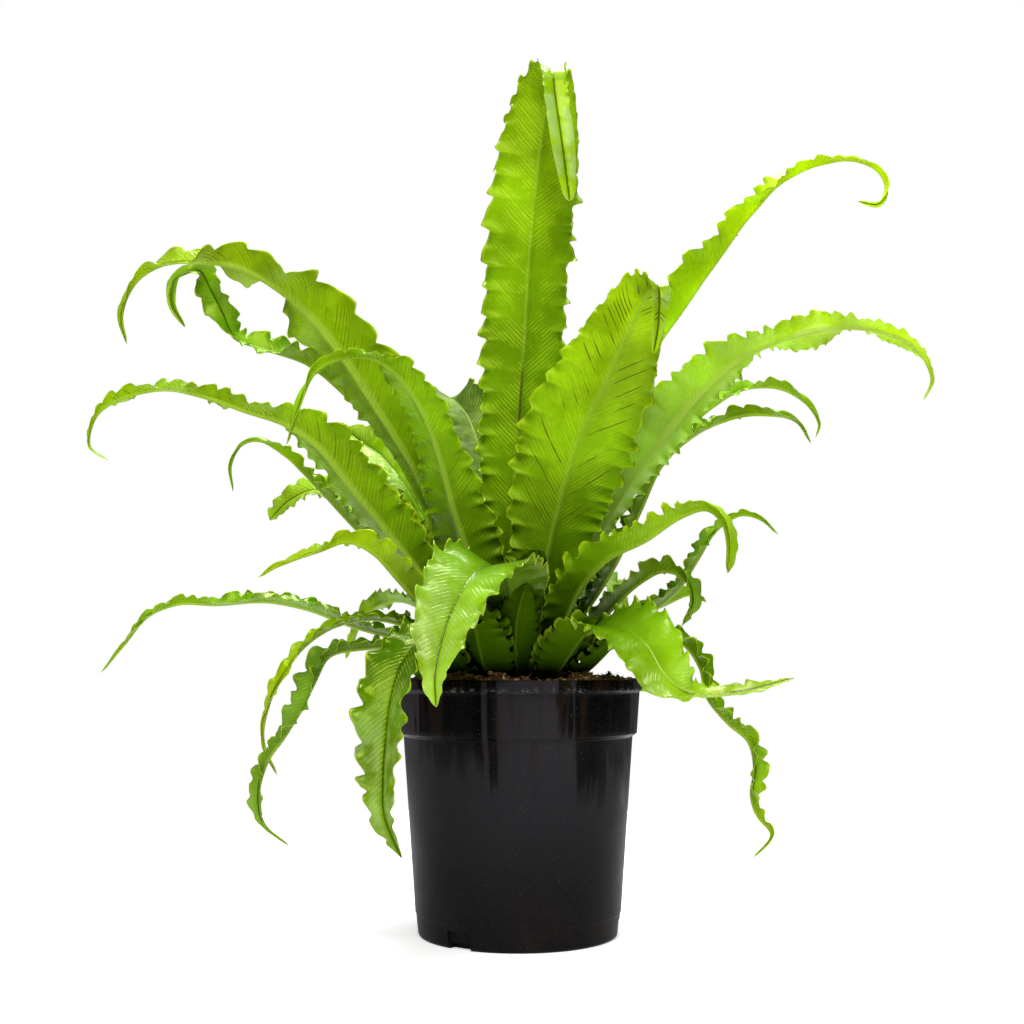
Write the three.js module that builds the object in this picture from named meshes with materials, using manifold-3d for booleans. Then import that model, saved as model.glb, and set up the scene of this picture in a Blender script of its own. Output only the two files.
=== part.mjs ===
// A crested bird's nest fern in a round black nursery pot.
// Millimetres, +Z up. The origin is the middle of the pot's flat underside, and -Y is the front.

import * as THREE from 'three';
import { mergeVertices } from 'three/addons/utils/BufferGeometryUtils.js';
import Module from 'manifold-3d';

const wasm = await Module();
wasm.setup();

// The pot: a thin tapered shell with a rim band, a collar above a step, and three notches at its foot.
const POT = {
  height: 165,
  rimRadius: 85,
  rimBand: 8,
  collarRadius: 80.4,
  collarFoot: 78.3,
  stepHeight: 128,
  bodyRadius: 75.5,
  footRadius: 65,
  footBand: 14,
  wall: 1.8,
  floor: 3.5,
  sides: 48,
};
const NOTCH = { count: 3, firstAngle: 236, width: 17, height: 12, depth: 14 };

// The soil fills the pot and has a round well that the crown sits in.
const SOIL = { level: 162, wellRadius: 42.4, wellFloor: 150, clump: 1.9, rings: 4 };

// The crown is the short scaly rhizome: a low dome with a plain hole for each frond.
const CROWN = { radius: 42, top: 184, foot: 150.4, scales: 0.7, sides: 40, steps: 6 };

// A frond's foot stands in its hole. Each ring of holes leans further out than the one inside it.
const FOOT = { halfWidth: 3, depth: 11, mouth: 6, holeWidth: 3.8, holeThickness: 2.6 };
const RING_LEAN = { 9: 4, 22: 13, 35: 34 };
const GAP = 0.35;

// A blade opens out of its stalk, and its margin waves after the first calm stretch. A wave's length
// is a base length and a share of the half width there.
const BLADE = {
  stalkEnd: 17,
  openAt: 50,
  calmWaves: 2,
  baseWave: 11,
  waveGrowth: 0.5,
  scallop: 0.09,
  tipHalfWidth: 0.8,
  stations: 200,
};

// The eight rows of points round a blade's section: the side, how far out to the margin, and the
// height over the middle surface on the stalk and on the open blade.
const ROWS = [
  { side: 1, out: 1, stalk: 0, blade: 0 },
  { side: 1, out: 0.5, stalk: 1.2, blade: 0.7 },
  { side: 1, out: 0, stalk: 1.4, blade: 0.6 },
  { side: -1, out: 0.5, stalk: 1.2, blade: 0.7 },
  { side: -1, out: 1, stalk: 0, blade: 0 },
  { side: -1, out: 0.5, stalk: -1.2, blade: -0.7 },
  { side: -1, out: 0, stalk: -2, blade: -1.8 },
  { side: 1, out: 0.5, stalk: -1.2, blade: -0.7 },
];

// Each frond: its hole (ring radius, degrees round the crown), how far its margin waves and how
// deeply it folds along the rib, and its midrib as points of x, y, z, half width and roll in degrees.
const FRONDS = {
  frond_tall_centre: {
    hole: [9, 275], ruffle: 0.22, fold: 14,
    spine: [[-5, -16, 217, 15], [-4, -23, 269, 21], [0, -31, 327, 26], [4, -39, 385, 28],
      [7, -46, 437, 30], [12, -54, 488, 30], [17, -60, 528, 27], [19, -65, 545, 22],
      [20, -76, 553, 12], [22, -85, 544, 9], [24, -89, 525, 8.5], [28, -89, 495, 8], [32, -88, 462, 4]],
  },
  frond_big_right: {
    hole: [22, 292], ruffle: 0.2, fold: 16,
    spine: [[12, -34, 212, 16, -10], [19, -46, 246, 27, -22], [28, -60, 284, 36, -25],
      [38, -74, 317, 38, -25], [52, -90, 345, 34, -25], [66, -104, 376, 27, -25],
      [76, -114, 396, 18, -20], [82, -126, 398, 9], [82, -131, 376, 5], [79, -128, 356, 2]],
  },
  frond_left_centre: {
    hole: [22, 236], ruffle: 0.24, fold: 20,
    spine: [[-21, -34, 211, 15, 10], [-31, -46, 240, 24, 20], [-41, -58, 270, 22, 20],
      [-50, -70, 305, 17, 20], [-60, -82, 331, 15, 15], [-73, -94, 349, 12], [-88, -105, 359, 9],
      [-106, -117, 356, 6], [-121, -125, 345, 5], [-129, -131, 322, 4], [-135, -132, 301, 1.2]],
  },
  frond_left_upper: {
    hole: [9, 165], ruffle: 0.22, fold: 22,
    spine: [[-28, -8, 217, 12, 10], [-50, -16, 262, 18.5, 30], [-72, -26, 307, 23, 55],
      [-95, -36, 343, 28, 68], [-118, -46, 377, 30, 70], [-141, -54, 403, 26, 68],
      [-164, -60, 420, 20, 55], [-188, -62, 429, 15, 35], [-229, -62, 429, 9], [-246, -62, 416, 5],
      [-253, -62, 396, 4], [-249, -62, 377, 1.2]],
  },
  frond_left_upper_back: {
    hole: [22, 155], ruffle: 0.26, fold: 20,
    spine: [[-36, 24, 225, 12], [-60, 32, 274, 15.5, 20], [-88, 40, 324, 17, 30],
      [-120, 48, 363, 18, 30], [-152, 54, 390, 16, 15], [-184, 54, 401, 13, -10],
      [-203, 50, 408, 10, -50], [-211, 44, 424, 11, -80], [-219, 40, 440, 11, -80],
      [-226, 34, 452, 8, -50], [-240, 24, 444, 5, -10], [-241, 18, 424, 3], [-231, 16, 407, 1.2]],
  },
  frond_left_middle: {
    hole: [22, 209], ruffle: 0.26, fold: 24,
    spine: [[-36, -38, 202, 12], [-58, -50, 228, 16.5, 20], [-82, -58, 256, 21, 40],
      [-104, -66, 283, 22, 45], [-124, -72, 308, 21, 40], [-145, -76, 323, 17, 25],
      [-169, -80, 331, 11, 10], [-215, -84, 344, 9], [-240, -84, 340, 7], [-260, -84, 328, 4],
      [-264, -84, 308, 2], [-252, -84, 299, 0.9]],
  },
  frond_left_thin_back: {
    hole: [35, 176], ruffle: 0.3, fold: 30,
    spine: [[-50, 8, 205, 11], [-80, 12, 236, 11.5], [-115, 16, 272, 11], [-140, 18, 299, 9],
      [-160, 20, 318, 7], [-178, 20, 328, 4], [-191, 20, 325, 3], [-198, 20, 311, 2.5],
      [-196, 20, 292, 1]],
  },
  frond_left_blunt: {
    hole: [35, 158], ruffle: 0.2, fold: 12,
    spine: [[-52, 31, 212, 8.8], [-86, 46, 251, 12.5], [-120, 60, 286, 12, -15],
      [-146, 70, 300, 13, -40], [-166, 76, 293, 12, -55], [-181, 80, 279, 7, -55]],
  },
  frond_left_yellow_tip: {
    hole: [35, 218], ruffle: 0.26, fold: 24,
    spine: [[-42, -50, 189, 8], [-58, -64, 208, 15], [-74, -76, 227, 18], [-89, -84, 243, 14],
      [-105, -90, 249, 8], [-121, -94, 243, 6], [-146, -98, 233, 4], [-156, -100, 226, 1.2]],
  },
  frond_left_low_long: {
    hole: [35, 190], ruffle: 0.3, fold: 26,
    spine: [[-52, -16, 185, 10], [-80, -26, 192, 10.5], [-108, -34, 200, 10], [-134, -40, 210, 11],
      [-161, -44, 215, 10], [-189, -46, 213, 7], [-217, -46, 213, 6], [-235, -46, 205, 4],
      [-250, -46, 187, 3], [-264, -46, 169, 1]],
  },
  frond_left_yellow_rib: {
    hole: [35, 204], ruffle: 0.3, fold: 24,
    spine: [[-48, -38, 186, 7.5], [-68, -56, 198, 8.5], [-90, -70, 203, 7], [-113, -79, 198, 7],
      [-130, -85, 186, 6], [-141, -88, 170, 5], [-150, -90, 151, 4], [-153, -90, 130, 3],
      [-144, -90, 109, 1]],
  },
  frond_left_hanging: {
    hole: [35, 232], ruffle: 0.32, fold: 26,
    spine: [[-38, -60, 180, 9], [-64, -78, 185, 9.5], [-92, -91, 185, 9], [-113, -100, 180, 10],
      [-121, -104, 165, 12], [-128, -106, 149, 9], [-138, -108, 133, 8], [-148, -108, 118, 7],
      [-152, -108, 99, 6], [-148, -108, 82, 3], [-133, -104, 69, 0.9]],
  },
  frond_front_left_hanging: {
    hole: [35, 247], ruffle: 0.26, fold: 20,
    spine: [[-24, -62, 184, 11.5], [-38, -86, 194, 16], [-56, -112, 190, 19], [-68, -128, 174, 21],
      [-73, -138, 154, 20], [-75, -142, 132, 17], [-76, -144, 110, 13], [-75, -144, 91, 9],
      [-65, -144, 68, 1.5]],
  },
  frond_front_fold: {
    hole: [35, 264], ruffle: 0.24, fold: 16,
    spine: [[-4, -56, 192, 17], [-4, -72, 210, 22], [-8, -94, 227, 26, -10], [-18, -117, 232, 28, -24],
      [-29, -138, 222, 27, -28], [-38, -152, 204, 23, -28], [-43, -162, 187, 17, -26],
      [-46, -168, 170, 9, -20], [-45, -171, 152, 3]],
  },
  frond_front_centre: {
    hole: [22, 268], ruffle: 0.3, fold: 26,
    spine: [[3, -38, 200, 12], [6, -48, 220, 13.5], [9, -57, 236, 13], [12, -67, 246, 3]],
  },
  frond_front_right_fold: {
    hole: [35, 299], ruffle: 0.22, fold: 16,
    spine: [[26, -56, 183, 16], [37, -70, 191, 19], [50, -84, 197, 22, 12], [63, -99, 196, 23, 30],
      [75, -112, 186, 22, 42], [84, -120, 170, 18, 40], [96, -125, 159, 12, 20], [112, -126, 158, 9],
      [135, -126, 161, 5], [159, -122, 167, 1]],
  },
  frond_right_upper: {
    hole: [9, 8], ruffle: 0.2, fold: 34,
    spine: [[26, 10, 224, 14], [50, 17, 286, 19.5, -10], [75, 24, 350, 23, -25],
      [96, 28, 394, 26, -30], [116, 30, 423, 25, -30], [140, 32, 458, 21, -25],
      [164, 34, 491, 14, -10], [192, 34, 520, 8], [235, 34, 534, 5], [255, 32, 527, 4],
      [262, 28, 512, 4], [255, 24, 498, 3], [240, 22, 499, 1.2]],
  },
  frond_right_middle: {
    hole: [22, 340], ruffle: 0.22, fold: 15,
    spine: [[33, -15, 218, 13, -8], [53, -20, 259, 19, -18], [77, -27, 298, 25, -25],
      [101, -32, 328, 31, -24], [124, -36, 355, 26, -22], [148, -40, 374, 18, -22],
      [177, -42, 386, 14, -28], [206, -44, 392, 11, -30], [234, -44, 390, 8, -28],
      [260, -44, 376, 4, -15], [268, -44, 358, 3], [262, -44, 344, 1]],
  },
  frond_right_back_upper: {
    hole: [22, 32], ruffle: 0.28, fold: 28,
    spine: [[40, 32, 226, 12], [74, 50, 283, 14.5], [110, 62, 331, 13], [144, 72, 363, 11],
      [171, 78, 377, 8], [198, 82, 376, 7], [216, 84, 364, 5], [223, 84, 350, 3], [220, 84, 340, 1]],
  },
  frond_right_back_lower: {
    hole: [22, 6], ruffle: 0.3, fold: 30,
    spine: [[42, 6, 206, 11], [65, 8, 241, 13.5], [83, 10, 279, 12], [98, 12, 310, 9],
      [119, 14, 330, 8], [146, 16, 343, 8], [173, 16, 346, 7], [192, 16, 341, 4], [202, 16, 325, 1]],
  },
  frond_right_tip_hanging: {
    hole: [22, 316], ruffle: 0.22, fold: 26,
    spine: [[28, -40, 199, 17], [40, -56, 223, 21], [56, -72, 240, 22], [77, -88, 250, 18],
      [97, -100, 263, 12], [112, -108, 267, 9], [121, -112, 259, 8], [124, -114, 245, 8],
      [123, -112, 228, 4]],
  },
  frond_right_thin: {
    hole: [35, 352], ruffle: 0.3, fold: 26,
    spine: [[50, -16, 188, 9.5], [78, -24, 204, 11.5], [102, -28, 222, 10], [116, -30, 243, 9],
      [128, -32, 261, 6], [144, -32, 271, 4], [158, -32, 268, 3], [169, -32, 258, 1]],
  },
  frond_right_droop: {
    hole: [35, 335], ruffle: 0.28, fold: 24,
    spine: [[44, -34, 191, 12], [60, -46, 211, 15.5], [76, -56, 226, 13], [91, -62, 233, 10],
      [104, -66, 228, 8], [108, -68, 214, 6], [101, -68, 198, 2]],
  },
  frond_right_low: {
    hole: [35, 10], ruffle: 0.32, fold: 26,
    spine: [[52, 6, 188, 11], [74, 8, 203, 12.5], [97, 12, 214, 9], [117, 14, 222, 7],
      [128, 14, 216, 2]],
  },
  frond_right_hanging: {
    hole: [35, 318], ruffle: 0.32, fold: 26,
    spine: [[42, -44, 180, 12], [60, -54, 186, 13.5], [81, -64, 190, 13], [101, -71, 188, 12],
      [112, -73, 173, 11], [116, -74, 155, 9], [128, -74, 140, 10], [141, -74, 128, 9],
      [144, -74, 112, 8], [142, -74, 96, 7], [145, -74, 84, 5], [153, -74, 72, 3], [141, -74, 58, 1]],
  },
  frond_back_centre: {
    hole: [9, 95], ruffle: 0.22, fold: 18,
    spine: [[-8, 26, 218, 12], [-15, 42, 261, 20.5], [-22, 60, 306, 24], [-31, 80, 342, 24],
      [-42, 104, 367, 20], [-52, 130, 379, 15], [-61, 154, 377, 10], [-68, 176, 364, 5],
      [-72, 190, 346, 1.5]],
  },
  frond_back_left: {
    hole: [22, 124], ruffle: 0.2, fold: 14,
    spine: [[-34, 42, 219, 12], [-60, 64, 263, 16], [-80, 84, 300, 18, -10], [-100, 102, 328, 18, -20],
      [-114, 110, 339, 16, -30], [-126, 112, 348, 10, -30], [-132, 113, 353, 1.5, -30]],
  },
  frond_back_left_low: {
    hole: [35, 140], ruffle: 0.28, fold: 24,
    spine: [[-42, 44, 192, 11], [-62, 66, 210, 13.5], [-86, 92, 221, 13], [-108, 116, 216, 10],
      [-124, 136, 198, 5], [-132, 148, 178, 1.5]],
  },
  frond_back_low: {
    hole: [35, 106], ruffle: 0.28, fold: 24,
    spine: [[-16, 54, 194, 12], [-25, 80, 220, 14.5], [-36, 110, 238, 14], [-46, 140, 237, 11],
      [-54, 166, 220, 6], [-60, 182, 198, 1.5]],
  },
  frond_back_middle: {
    hole: [22, 88], ruffle: 0.24, fold: 20,
    spine: [[4, 46, 206, 13], [8, 76, 244, 17.5], [12, 110, 274, 18], [17, 144, 290, 16],
      [21, 176, 286, 11], [25, 202, 266, 6], [27, 218, 240, 1.5]],
  },
  frond_back_right_tall: {
    hole: [22, 58], ruffle: 0.22, fold: 20,
    spine: [[18, 34, 216, 12], [30, 54, 264, 17.5], [42, 76, 310, 20], [56, 102, 346, 20],
      [71, 130, 366, 16], [87, 158, 368, 10], [100, 182, 353, 5], [108, 198, 329, 1.5]],
  },
  frond_back_right_low: {
    hole: [35, 66], ruffle: 0.28, fold: 24,
    spine: [[24, 50, 193, 12], [40, 76, 218, 14.5], [56, 104, 236, 14], [70, 132, 236, 11],
      [82, 158, 220, 6], [90, 174, 198, 1.5]],
  },
  frond_inner_left: {
    hole: [22, 184], ruffle: 0.26, fold: 24,
    spine: [[-37, -8, 208, 10], [-56, -16, 241, 12], [-76, -22, 272, 12], [-92, -24, 290, 9],
      [-107, -26, 291, 6], [-116, -26, 280, 1.5]],
  },
  frond_young: {
    hole: [9, 222], ruffle: 0.3, fold: 34,
    spine: [[-14, -10, 237, 4], [-18, -14, 273, 5], [-20, -18, 290, 4], [-20, -22, 300, 1.2]],
  },
};

const FINISH = {
  pot: { color: 0x17181a, roughness: 0.38, metalness: 0 },
  soil: { color: 0x4a3020, roughness: 0.95, metalness: 0 },
  crown: { color: 0x2b1d12, roughness: 0.9, metalness: 0 },
  frond: { color: 0x6fae1c, roughness: 0.42, metalness: 0 },
};

const degrees = THREE.MathUtils.degToRad;
const { lerp, smoothstep } = THREE.MathUtils;

// A closed geometry as a solid: its shared vertices merged and its empty triangles dropped.
function toSolid(geometry) {
  const bare = geometry.clone();
  bare.deleteAttribute('normal');
  bare.deleteAttribute('uv');
  const merged = mergeVertices(bare, 1e-3);
  const index = merged.index.array;
  const triVerts = [];
  for (let i = 0; i < index.length; i += 3) {
    const [a, b, c] = [index[i], index[i + 1], index[i + 2]];
    if (a !== b && b !== c && c !== a) triVerts.push(a, b, c);
  }
  const vertProperties = new Float32Array(merged.attributes.position.array);
  return new wasm.Manifold(new wasm.Mesh({ numProp: 3, vertProperties, triVerts: new Uint32Array(triVerts) }));
}

function toGeometry(solid) {
  const { vertProperties, triVerts } = solid.getMesh();
  return closedGeometry(Array.from(vertProperties), Array.from(triVerts));
}

function closedGeometry(positions, triangles) {
  const geometry = new THREE.BufferGeometry();
  geometry.setAttribute('position', new THREE.Float32BufferAttribute(positions, 3));
  geometry.setIndex(triangles);
  geometry.computeVertexNormals();
  return geometry;
}

// A profile of [radius, height] pairs turned about the Z axis.
function turned(profile, sides) {
  const points = profile.map(([radius, height]) => new THREE.Vector2(radius, height));
  return new THREE.LatheGeometry(points, sides).rotateX(Math.PI / 2);
}

function namedMesh(name, geometry, finish) {
  const mesh = new THREE.Mesh(geometry, new THREE.MeshStandardMaterial(finish));
  mesh.name = name;
  return mesh;
}

// The pot's inner wall from its floor to its brim, moved inwards by the clearance.
function potInside(clearance) {
  const { height, rimBand, collarRadius, collarFoot, stepHeight, bodyRadius, footRadius, footBand, wall,
    floor } = POT;
  const inset = wall + clearance;
  return [
    [footRadius + 0.8 - inset, floor + clearance],
    [footRadius + 1.4 - inset, footBand],
    [footRadius + 2 - inset, footBand + 2],
    [bodyRadius - inset, stepHeight],
    [collarFoot - inset, stepHeight + 2],
    [collarRadius - inset, height - rimBand],
  ];
}

function makePot() {
  const { height, rimRadius, rimBand, collarRadius, collarFoot, stepHeight, bodyRadius, footRadius,
    footBand, wall } = POT;
  const outside = [
    [0, 0],
    [footRadius - 1.5, 0],
    [footRadius, 1.5],
    [footRadius + 1.4, footBand],
    [footRadius + 2, footBand + 1.5],
    [bodyRadius, stepHeight],
    [collarFoot, stepHeight + 1.5],
    [collarRadius, height - rimBand],
    [rimRadius - 0.8, height - rimBand + 0.4],
    [rimRadius, height - rimBand + 1.6],
    [rimRadius, height - 1],
    [rimRadius - 1, height],
    [collarRadius - wall + 1, height],
  ];
  const inside = potInside(0).reverse();
  const shell = toSolid(turned([...outside, ...inside, [0, POT.floor]], POT.sides));
  return toGeometry(cutNotches(shell));
}

// The drainage notches go through the corner where the wall meets the floor.
function cutNotches(shell) {
  let solid = shell;
  for (let i = 0; i < NOTCH.count; i += 1) {
    const block = new THREE.BoxGeometry(NOTCH.depth, NOTCH.width, NOTCH.height);
    block.translate(POT.footRadius, 0, NOTCH.height / 2 - 1);
    block.rotateZ(degrees(NOTCH.firstAngle + (360 / NOTCH.count) * i));
    solid = solid.subtract(toSolid(block));
  }
  return solid;
}

// Crumbs of bark: three crossed ripples, highest where they meet.
function clumpHeight(x, y) {
  const coarse = Math.sin(0.19 * x + 0.6) * Math.sin(0.23 * y + 1.1);
  const fine = Math.sin(0.41 * x - 0.33 * y + 2) * Math.sin(0.37 * x + 0.47 * y);
  return SOIL.clump * (0.4 + coarse + 0.8 * fine);
}

function makeSoil() {
  const wall = potInside(GAP);
  const brim = wall[wall.length - 1][0] - 0.1;
  const rings = Array.from({ length: SOIL.rings + 1 }, (_, i) => (
    [lerp(SOIL.wellRadius, brim, i / SOIL.rings), SOIL.level]
  ));
  const profile = [[0, SOIL.wellFloor], [SOIL.wellRadius, SOIL.wellFloor], ...rings];
  profile.push(...wall.slice(0, -1).reverse(), [0, POT.floor + GAP]);
  const geometry = turned(profile.reverse(), POT.sides);
  const place = geometry.attributes.position;
  for (let i = 0; i < place.count; i += 1) {
    if (place.getZ(i) > SOIL.level - 1) {
      place.setZ(i, SOIL.level + clumpHeight(place.getX(i), place.getY(i)));
    }
  }
  return toGeometry(toSolid(geometry));
}

// The crown's dome: a quarter ellipse turned about the axis.
function domeHeight(radius) {
  const share = Math.min(radius / CROWN.radius, 1);
  return SOIL.level + (CROWN.top - SOIL.level) * Math.sqrt(1 - share * share);
}

function makeCrown() {
  const profile = [[0, CROWN.foot], [CROWN.radius, CROWN.foot], [CROWN.radius, SOIL.level]];
  for (let i = 1; i <= CROWN.steps; i += 1) {
    const radius = CROWN.radius * Math.cos((Math.PI / 2) * (i / CROWN.steps));
    profile.push([i < CROWN.steps ? radius : 0, domeHeight(radius)]);
  }
  const geometry = turned(profile, CROWN.sides);
  roughen(geometry.attributes.position);
  let solid = toSolid(geometry);
  for (const frond of Object.values(FRONDS)) solid = solid.subtract(holeFor(seatOf(frond.hole)));
  return toGeometry(solid);
}

// Scales on the dome, as alternate small steps in its radius.
function roughen(place) {
  for (let i = 0; i < place.count; i += 1) {
    const [x, y, z] = [place.getX(i), place.getY(i), place.getZ(i)];
    if (z > SOIL.level + 1 && Math.hypot(x, y) > 1) {
      const swell = 1 + (CROWN.scales * Math.sin(9 * Math.atan2(y, x) + z)) / CROWN.radius;
      place.setXYZ(i, x * swell, y * swell, z);
    }
  }
}

// Where a frond stands: a point on the dome, the way it grows, and the side that faces the axis.
function seatOf([radius, angle]) {
  const out = new THREE.Vector3(Math.cos(degrees(angle)), Math.sin(degrees(angle)), 0);
  const lean = degrees(RING_LEAN[radius]);
  const up = new THREE.Vector3(0, 0, Math.cos(lean)).addScaledVector(out, Math.sin(lean));
  const mouth = out.clone().multiplyScalar(radius).setZ(domeHeight(radius));
  const upper = out.clone().negate();
  upper.addScaledVector(up, -upper.dot(up)).normalize();
  return { mouth, up, upper, across: up.clone().cross(upper) };
}

// A plain eight-sided hole, a little larger than the frond's foot.
function holeFor({ mouth, up, upper, across }) {
  const length = FOOT.depth + FOOT.mouth + GAP;
  const hole = new THREE.CylinderGeometry(1, 1, length, 8);
  hole.translate(0, length / 2 - FOOT.depth - GAP, 0);
  const wide = across.clone().multiplyScalar(FOOT.holeWidth);
  const thick = upper.clone().multiplyScalar(FOOT.holeThickness);
  hole.applyMatrix4(new THREE.Matrix4().makeBasis(thick, up, wide.negate()).setPosition(mouth));
  return toSolid(hole);
}

// The midrib as evenly spaced stations, each with its frame, half width and roll.
// The frame is carried along without twisting, from the side that faces the plant's axis.
function stationsOf(frond) {
  const seat = seatOf(frond.hole);
  const onAxis = (distance) => seat.mouth.clone().addScaledVector(seat.up, distance);
  const foot = [onAxis(-FOOT.depth), onAxis(0), onAxis(FOOT.mouth)];
  const places = [...foot, ...frond.spine.map(([x, y, z]) => new THREE.Vector3(x, y, z))];
  const sizes = [
    ...foot.map(() => new THREE.Vector3(FOOT.halfWidth, 0, 0)),
    ...frond.spine.map(([, , , halfWidth, roll = 0]) => new THREE.Vector3(halfWidth, roll, 0)),
  ];
  const curve = new THREE.CatmullRomCurve3(places, false, 'centripetal');
  curve.arcLengthDivisions = 600;
  const sizeCurve = new THREE.CatmullRomCurve3(sizes, false, 'catmullrom', 0.5);
  const upper = seat.upper.clone();
  const stations = [];
  for (let i = 0; i <= BLADE.stations; i += 1) {
    const share = i / BLADE.stations;
    const tangent = curve.getTangentAt(share).normalize();
    upper.addScaledVector(tangent, -upper.dot(tangent)).normalize();
    const size = sizeCurve.getPoint(curve.getUtoTmapping(share));
    const rolled = upper.clone().applyAxisAngle(tangent, degrees(size.y));
    stations.push({
      place: curve.getPointAt(share),
      upper: rolled,
      across: tangent.clone().cross(rolled),
      halfWidth: Math.max(size.x, BLADE.tipHalfWidth),
      along: share * curve.getLength(),
    });
  }
  return stations;
}

// How far each station has come in waves of the margin: narrow stretches have shorter waves.
// The total is rounded to a whole number of waves.
function countWaves(stations) {
  const step = stations[1].along;
  const counts = [0];
  for (let i = 1; i < stations.length; i += 1) {
    const wave = BLADE.baseWave + BLADE.waveGrowth * stations[i].halfWidth;
    counts.push(counts[i - 1] + step / wave);
  }
  const total = Math.round(counts[counts.length - 1]);
  return { total, counts: counts.map((count) => (count * total) / counts[counts.length - 1]) };
}

// The station at a wave count, between the two nearest ones.
function stationAt(stations, counts, count) {
  let next = 1;
  while (next < counts.length - 1 && counts[next] < count) next += 1;
  const share = (count - counts[next - 1]) / (counts[next] - counts[next - 1]);
  const [a, b] = [stations[next - 1], stations[next]];
  return {
    place: a.place.clone().lerp(b.place, share),
    upper: a.upper.clone().lerp(b.upper, share).normalize(),
    across: a.across.clone().lerp(b.across, share).normalize(),
    halfWidth: lerp(a.halfWidth, b.halfWidth, share),
    along: lerp(a.along, b.along, share),
  };
}

// A point of the blade: out from the rib along the folded half, then up by the ruffle and the row's
// height. The crest is 1 or -1 on the margin's waves and 0 between them.
function bladePoint(station, frond, { side, out, stalk, blade }, crest) {
  const open = smoothstep(station.along, BLADE.stalkEnd, BLADE.openAt);
  const fold = degrees(frond.fold) * open;
  const reach = station.halfWidth * out * (1 + BLADE.scallop * crest * open);
  const rise = station.halfWidth * frond.ruffle * crest * open;
  const height = lerp(stalk, blade, open) * Math.min(1, 0.25 + station.halfWidth / 8);
  return station.place.clone()
    .addScaledVector(station.across, side * (reach * Math.cos(fold) - rise * Math.sin(fold)))
    .addScaledVector(station.upper, reach * Math.sin(fold) + rise * Math.cos(fold) + height);
}

// One frond as a closed body: its rows, from margin to margin over the upper face and back below.
// The margins have two points to a wave, and the rows between them have one.
function makeFrond(frond) {
  const stations = stationsOf(frond);
  const { total, counts } = countWaves(stations);
  const positions = [];
  const triangles = [];
  const addPoint = (point) => positions.push(point.x, point.y, point.z) / 3 - 1;
  const tip = addPoint(stations[stations.length - 1].place);

  function pointsOf(row) {
    const points = [];
    const add = (count, crest) => {
      const point = bladePoint(stationAt(stations, counts, count), frond, row, crest);
      points.push({ count, index: addPoint(point) });
    };
    for (let wave = 0; wave < total; wave += 1) {
      if (row.out < 1 || wave < BLADE.calmWaves) {
        add(wave, 0);
      } else {
        add(wave + 0.25, row.side);
        add(wave + 0.75, -row.side);
      }
    }
    points.push({ count: total, index: tip });
    return { out: row.out, points };
  }

  const loop = ROWS.map(pointsOf);
  loop.forEach((row, i) => stitch(row, loop[(i + 1) % loop.length], triangles));
  const footCorners = loop.map((row) => row.points[0].index);
  for (let i = 1; i < footCorners.length - 1; i += 1) {
    triangles.push(footCorners[0], footCorners[i], footCorners[i + 1]);
  }
  return closedGeometry(positions, triangles);
}

// Triangles between two rows. The row whose next point comes sooner moves on first, and the outer
// one where both come together, so the upper and the lower face are split alike.
function stitch(left, right, triangles) {
  let i = 0;
  let j = 0;
  while (i < left.points.length - 1 || j < right.points.length - 1) {
    const nextLeft = left.points[i + 1]?.count ?? Infinity;
    const nextRight = right.points[j + 1]?.count ?? Infinity;
    const leftMoves = nextLeft < nextRight || (nextLeft === nextRight && left.out > right.out);
    const ahead = leftMoves ? left.points[i + 1] : right.points[j + 1];
    const corners = [right.points[j].index, left.points[i].index, ahead.index];
    if (new Set(corners).size === 3) triangles.push(...corners);
    if (leftMoves) i += 1;
    else j += 1;
  }
}

function makeFern() {
  const fern = new THREE.Group();
  fern.add(namedMesh('pot', makePot(), FINISH.pot));
  fern.add(namedMesh('soil', makeSoil(), FINISH.soil));
  fern.add(namedMesh('crown', makeCrown(), FINISH.crown));
  for (const [name, frond] of Object.entries(FRONDS)) {
    fern.add(namedMesh(name, makeFrond(frond), FINISH.frond));
  }
  return fern;
}

export default makeFern();
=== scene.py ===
import math

import bmesh
import bpy
import numpy as np
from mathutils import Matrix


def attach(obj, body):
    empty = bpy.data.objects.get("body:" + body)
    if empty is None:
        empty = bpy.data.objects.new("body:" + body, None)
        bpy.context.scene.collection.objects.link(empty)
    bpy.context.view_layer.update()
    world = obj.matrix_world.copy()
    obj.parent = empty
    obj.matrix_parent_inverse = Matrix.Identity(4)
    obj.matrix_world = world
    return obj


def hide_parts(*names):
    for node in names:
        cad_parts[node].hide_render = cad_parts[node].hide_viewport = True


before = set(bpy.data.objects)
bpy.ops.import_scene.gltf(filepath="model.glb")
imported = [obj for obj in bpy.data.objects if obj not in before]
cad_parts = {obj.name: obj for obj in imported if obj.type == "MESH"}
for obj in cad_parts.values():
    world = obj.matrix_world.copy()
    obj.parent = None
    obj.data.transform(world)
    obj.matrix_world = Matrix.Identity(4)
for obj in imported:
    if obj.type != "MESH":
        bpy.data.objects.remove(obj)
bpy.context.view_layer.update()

mm = 0.001  # the tables are in millimetres, and Blender is in metres
# Seeds of the random draws. Pairs are the first seed and the step to the next.
seeds = dict(fronds=(100, 13), footLeaves=(900, 11), wander=50, soil=5, crown=9)


# Meshes from whole arrays of points and faces

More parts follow.
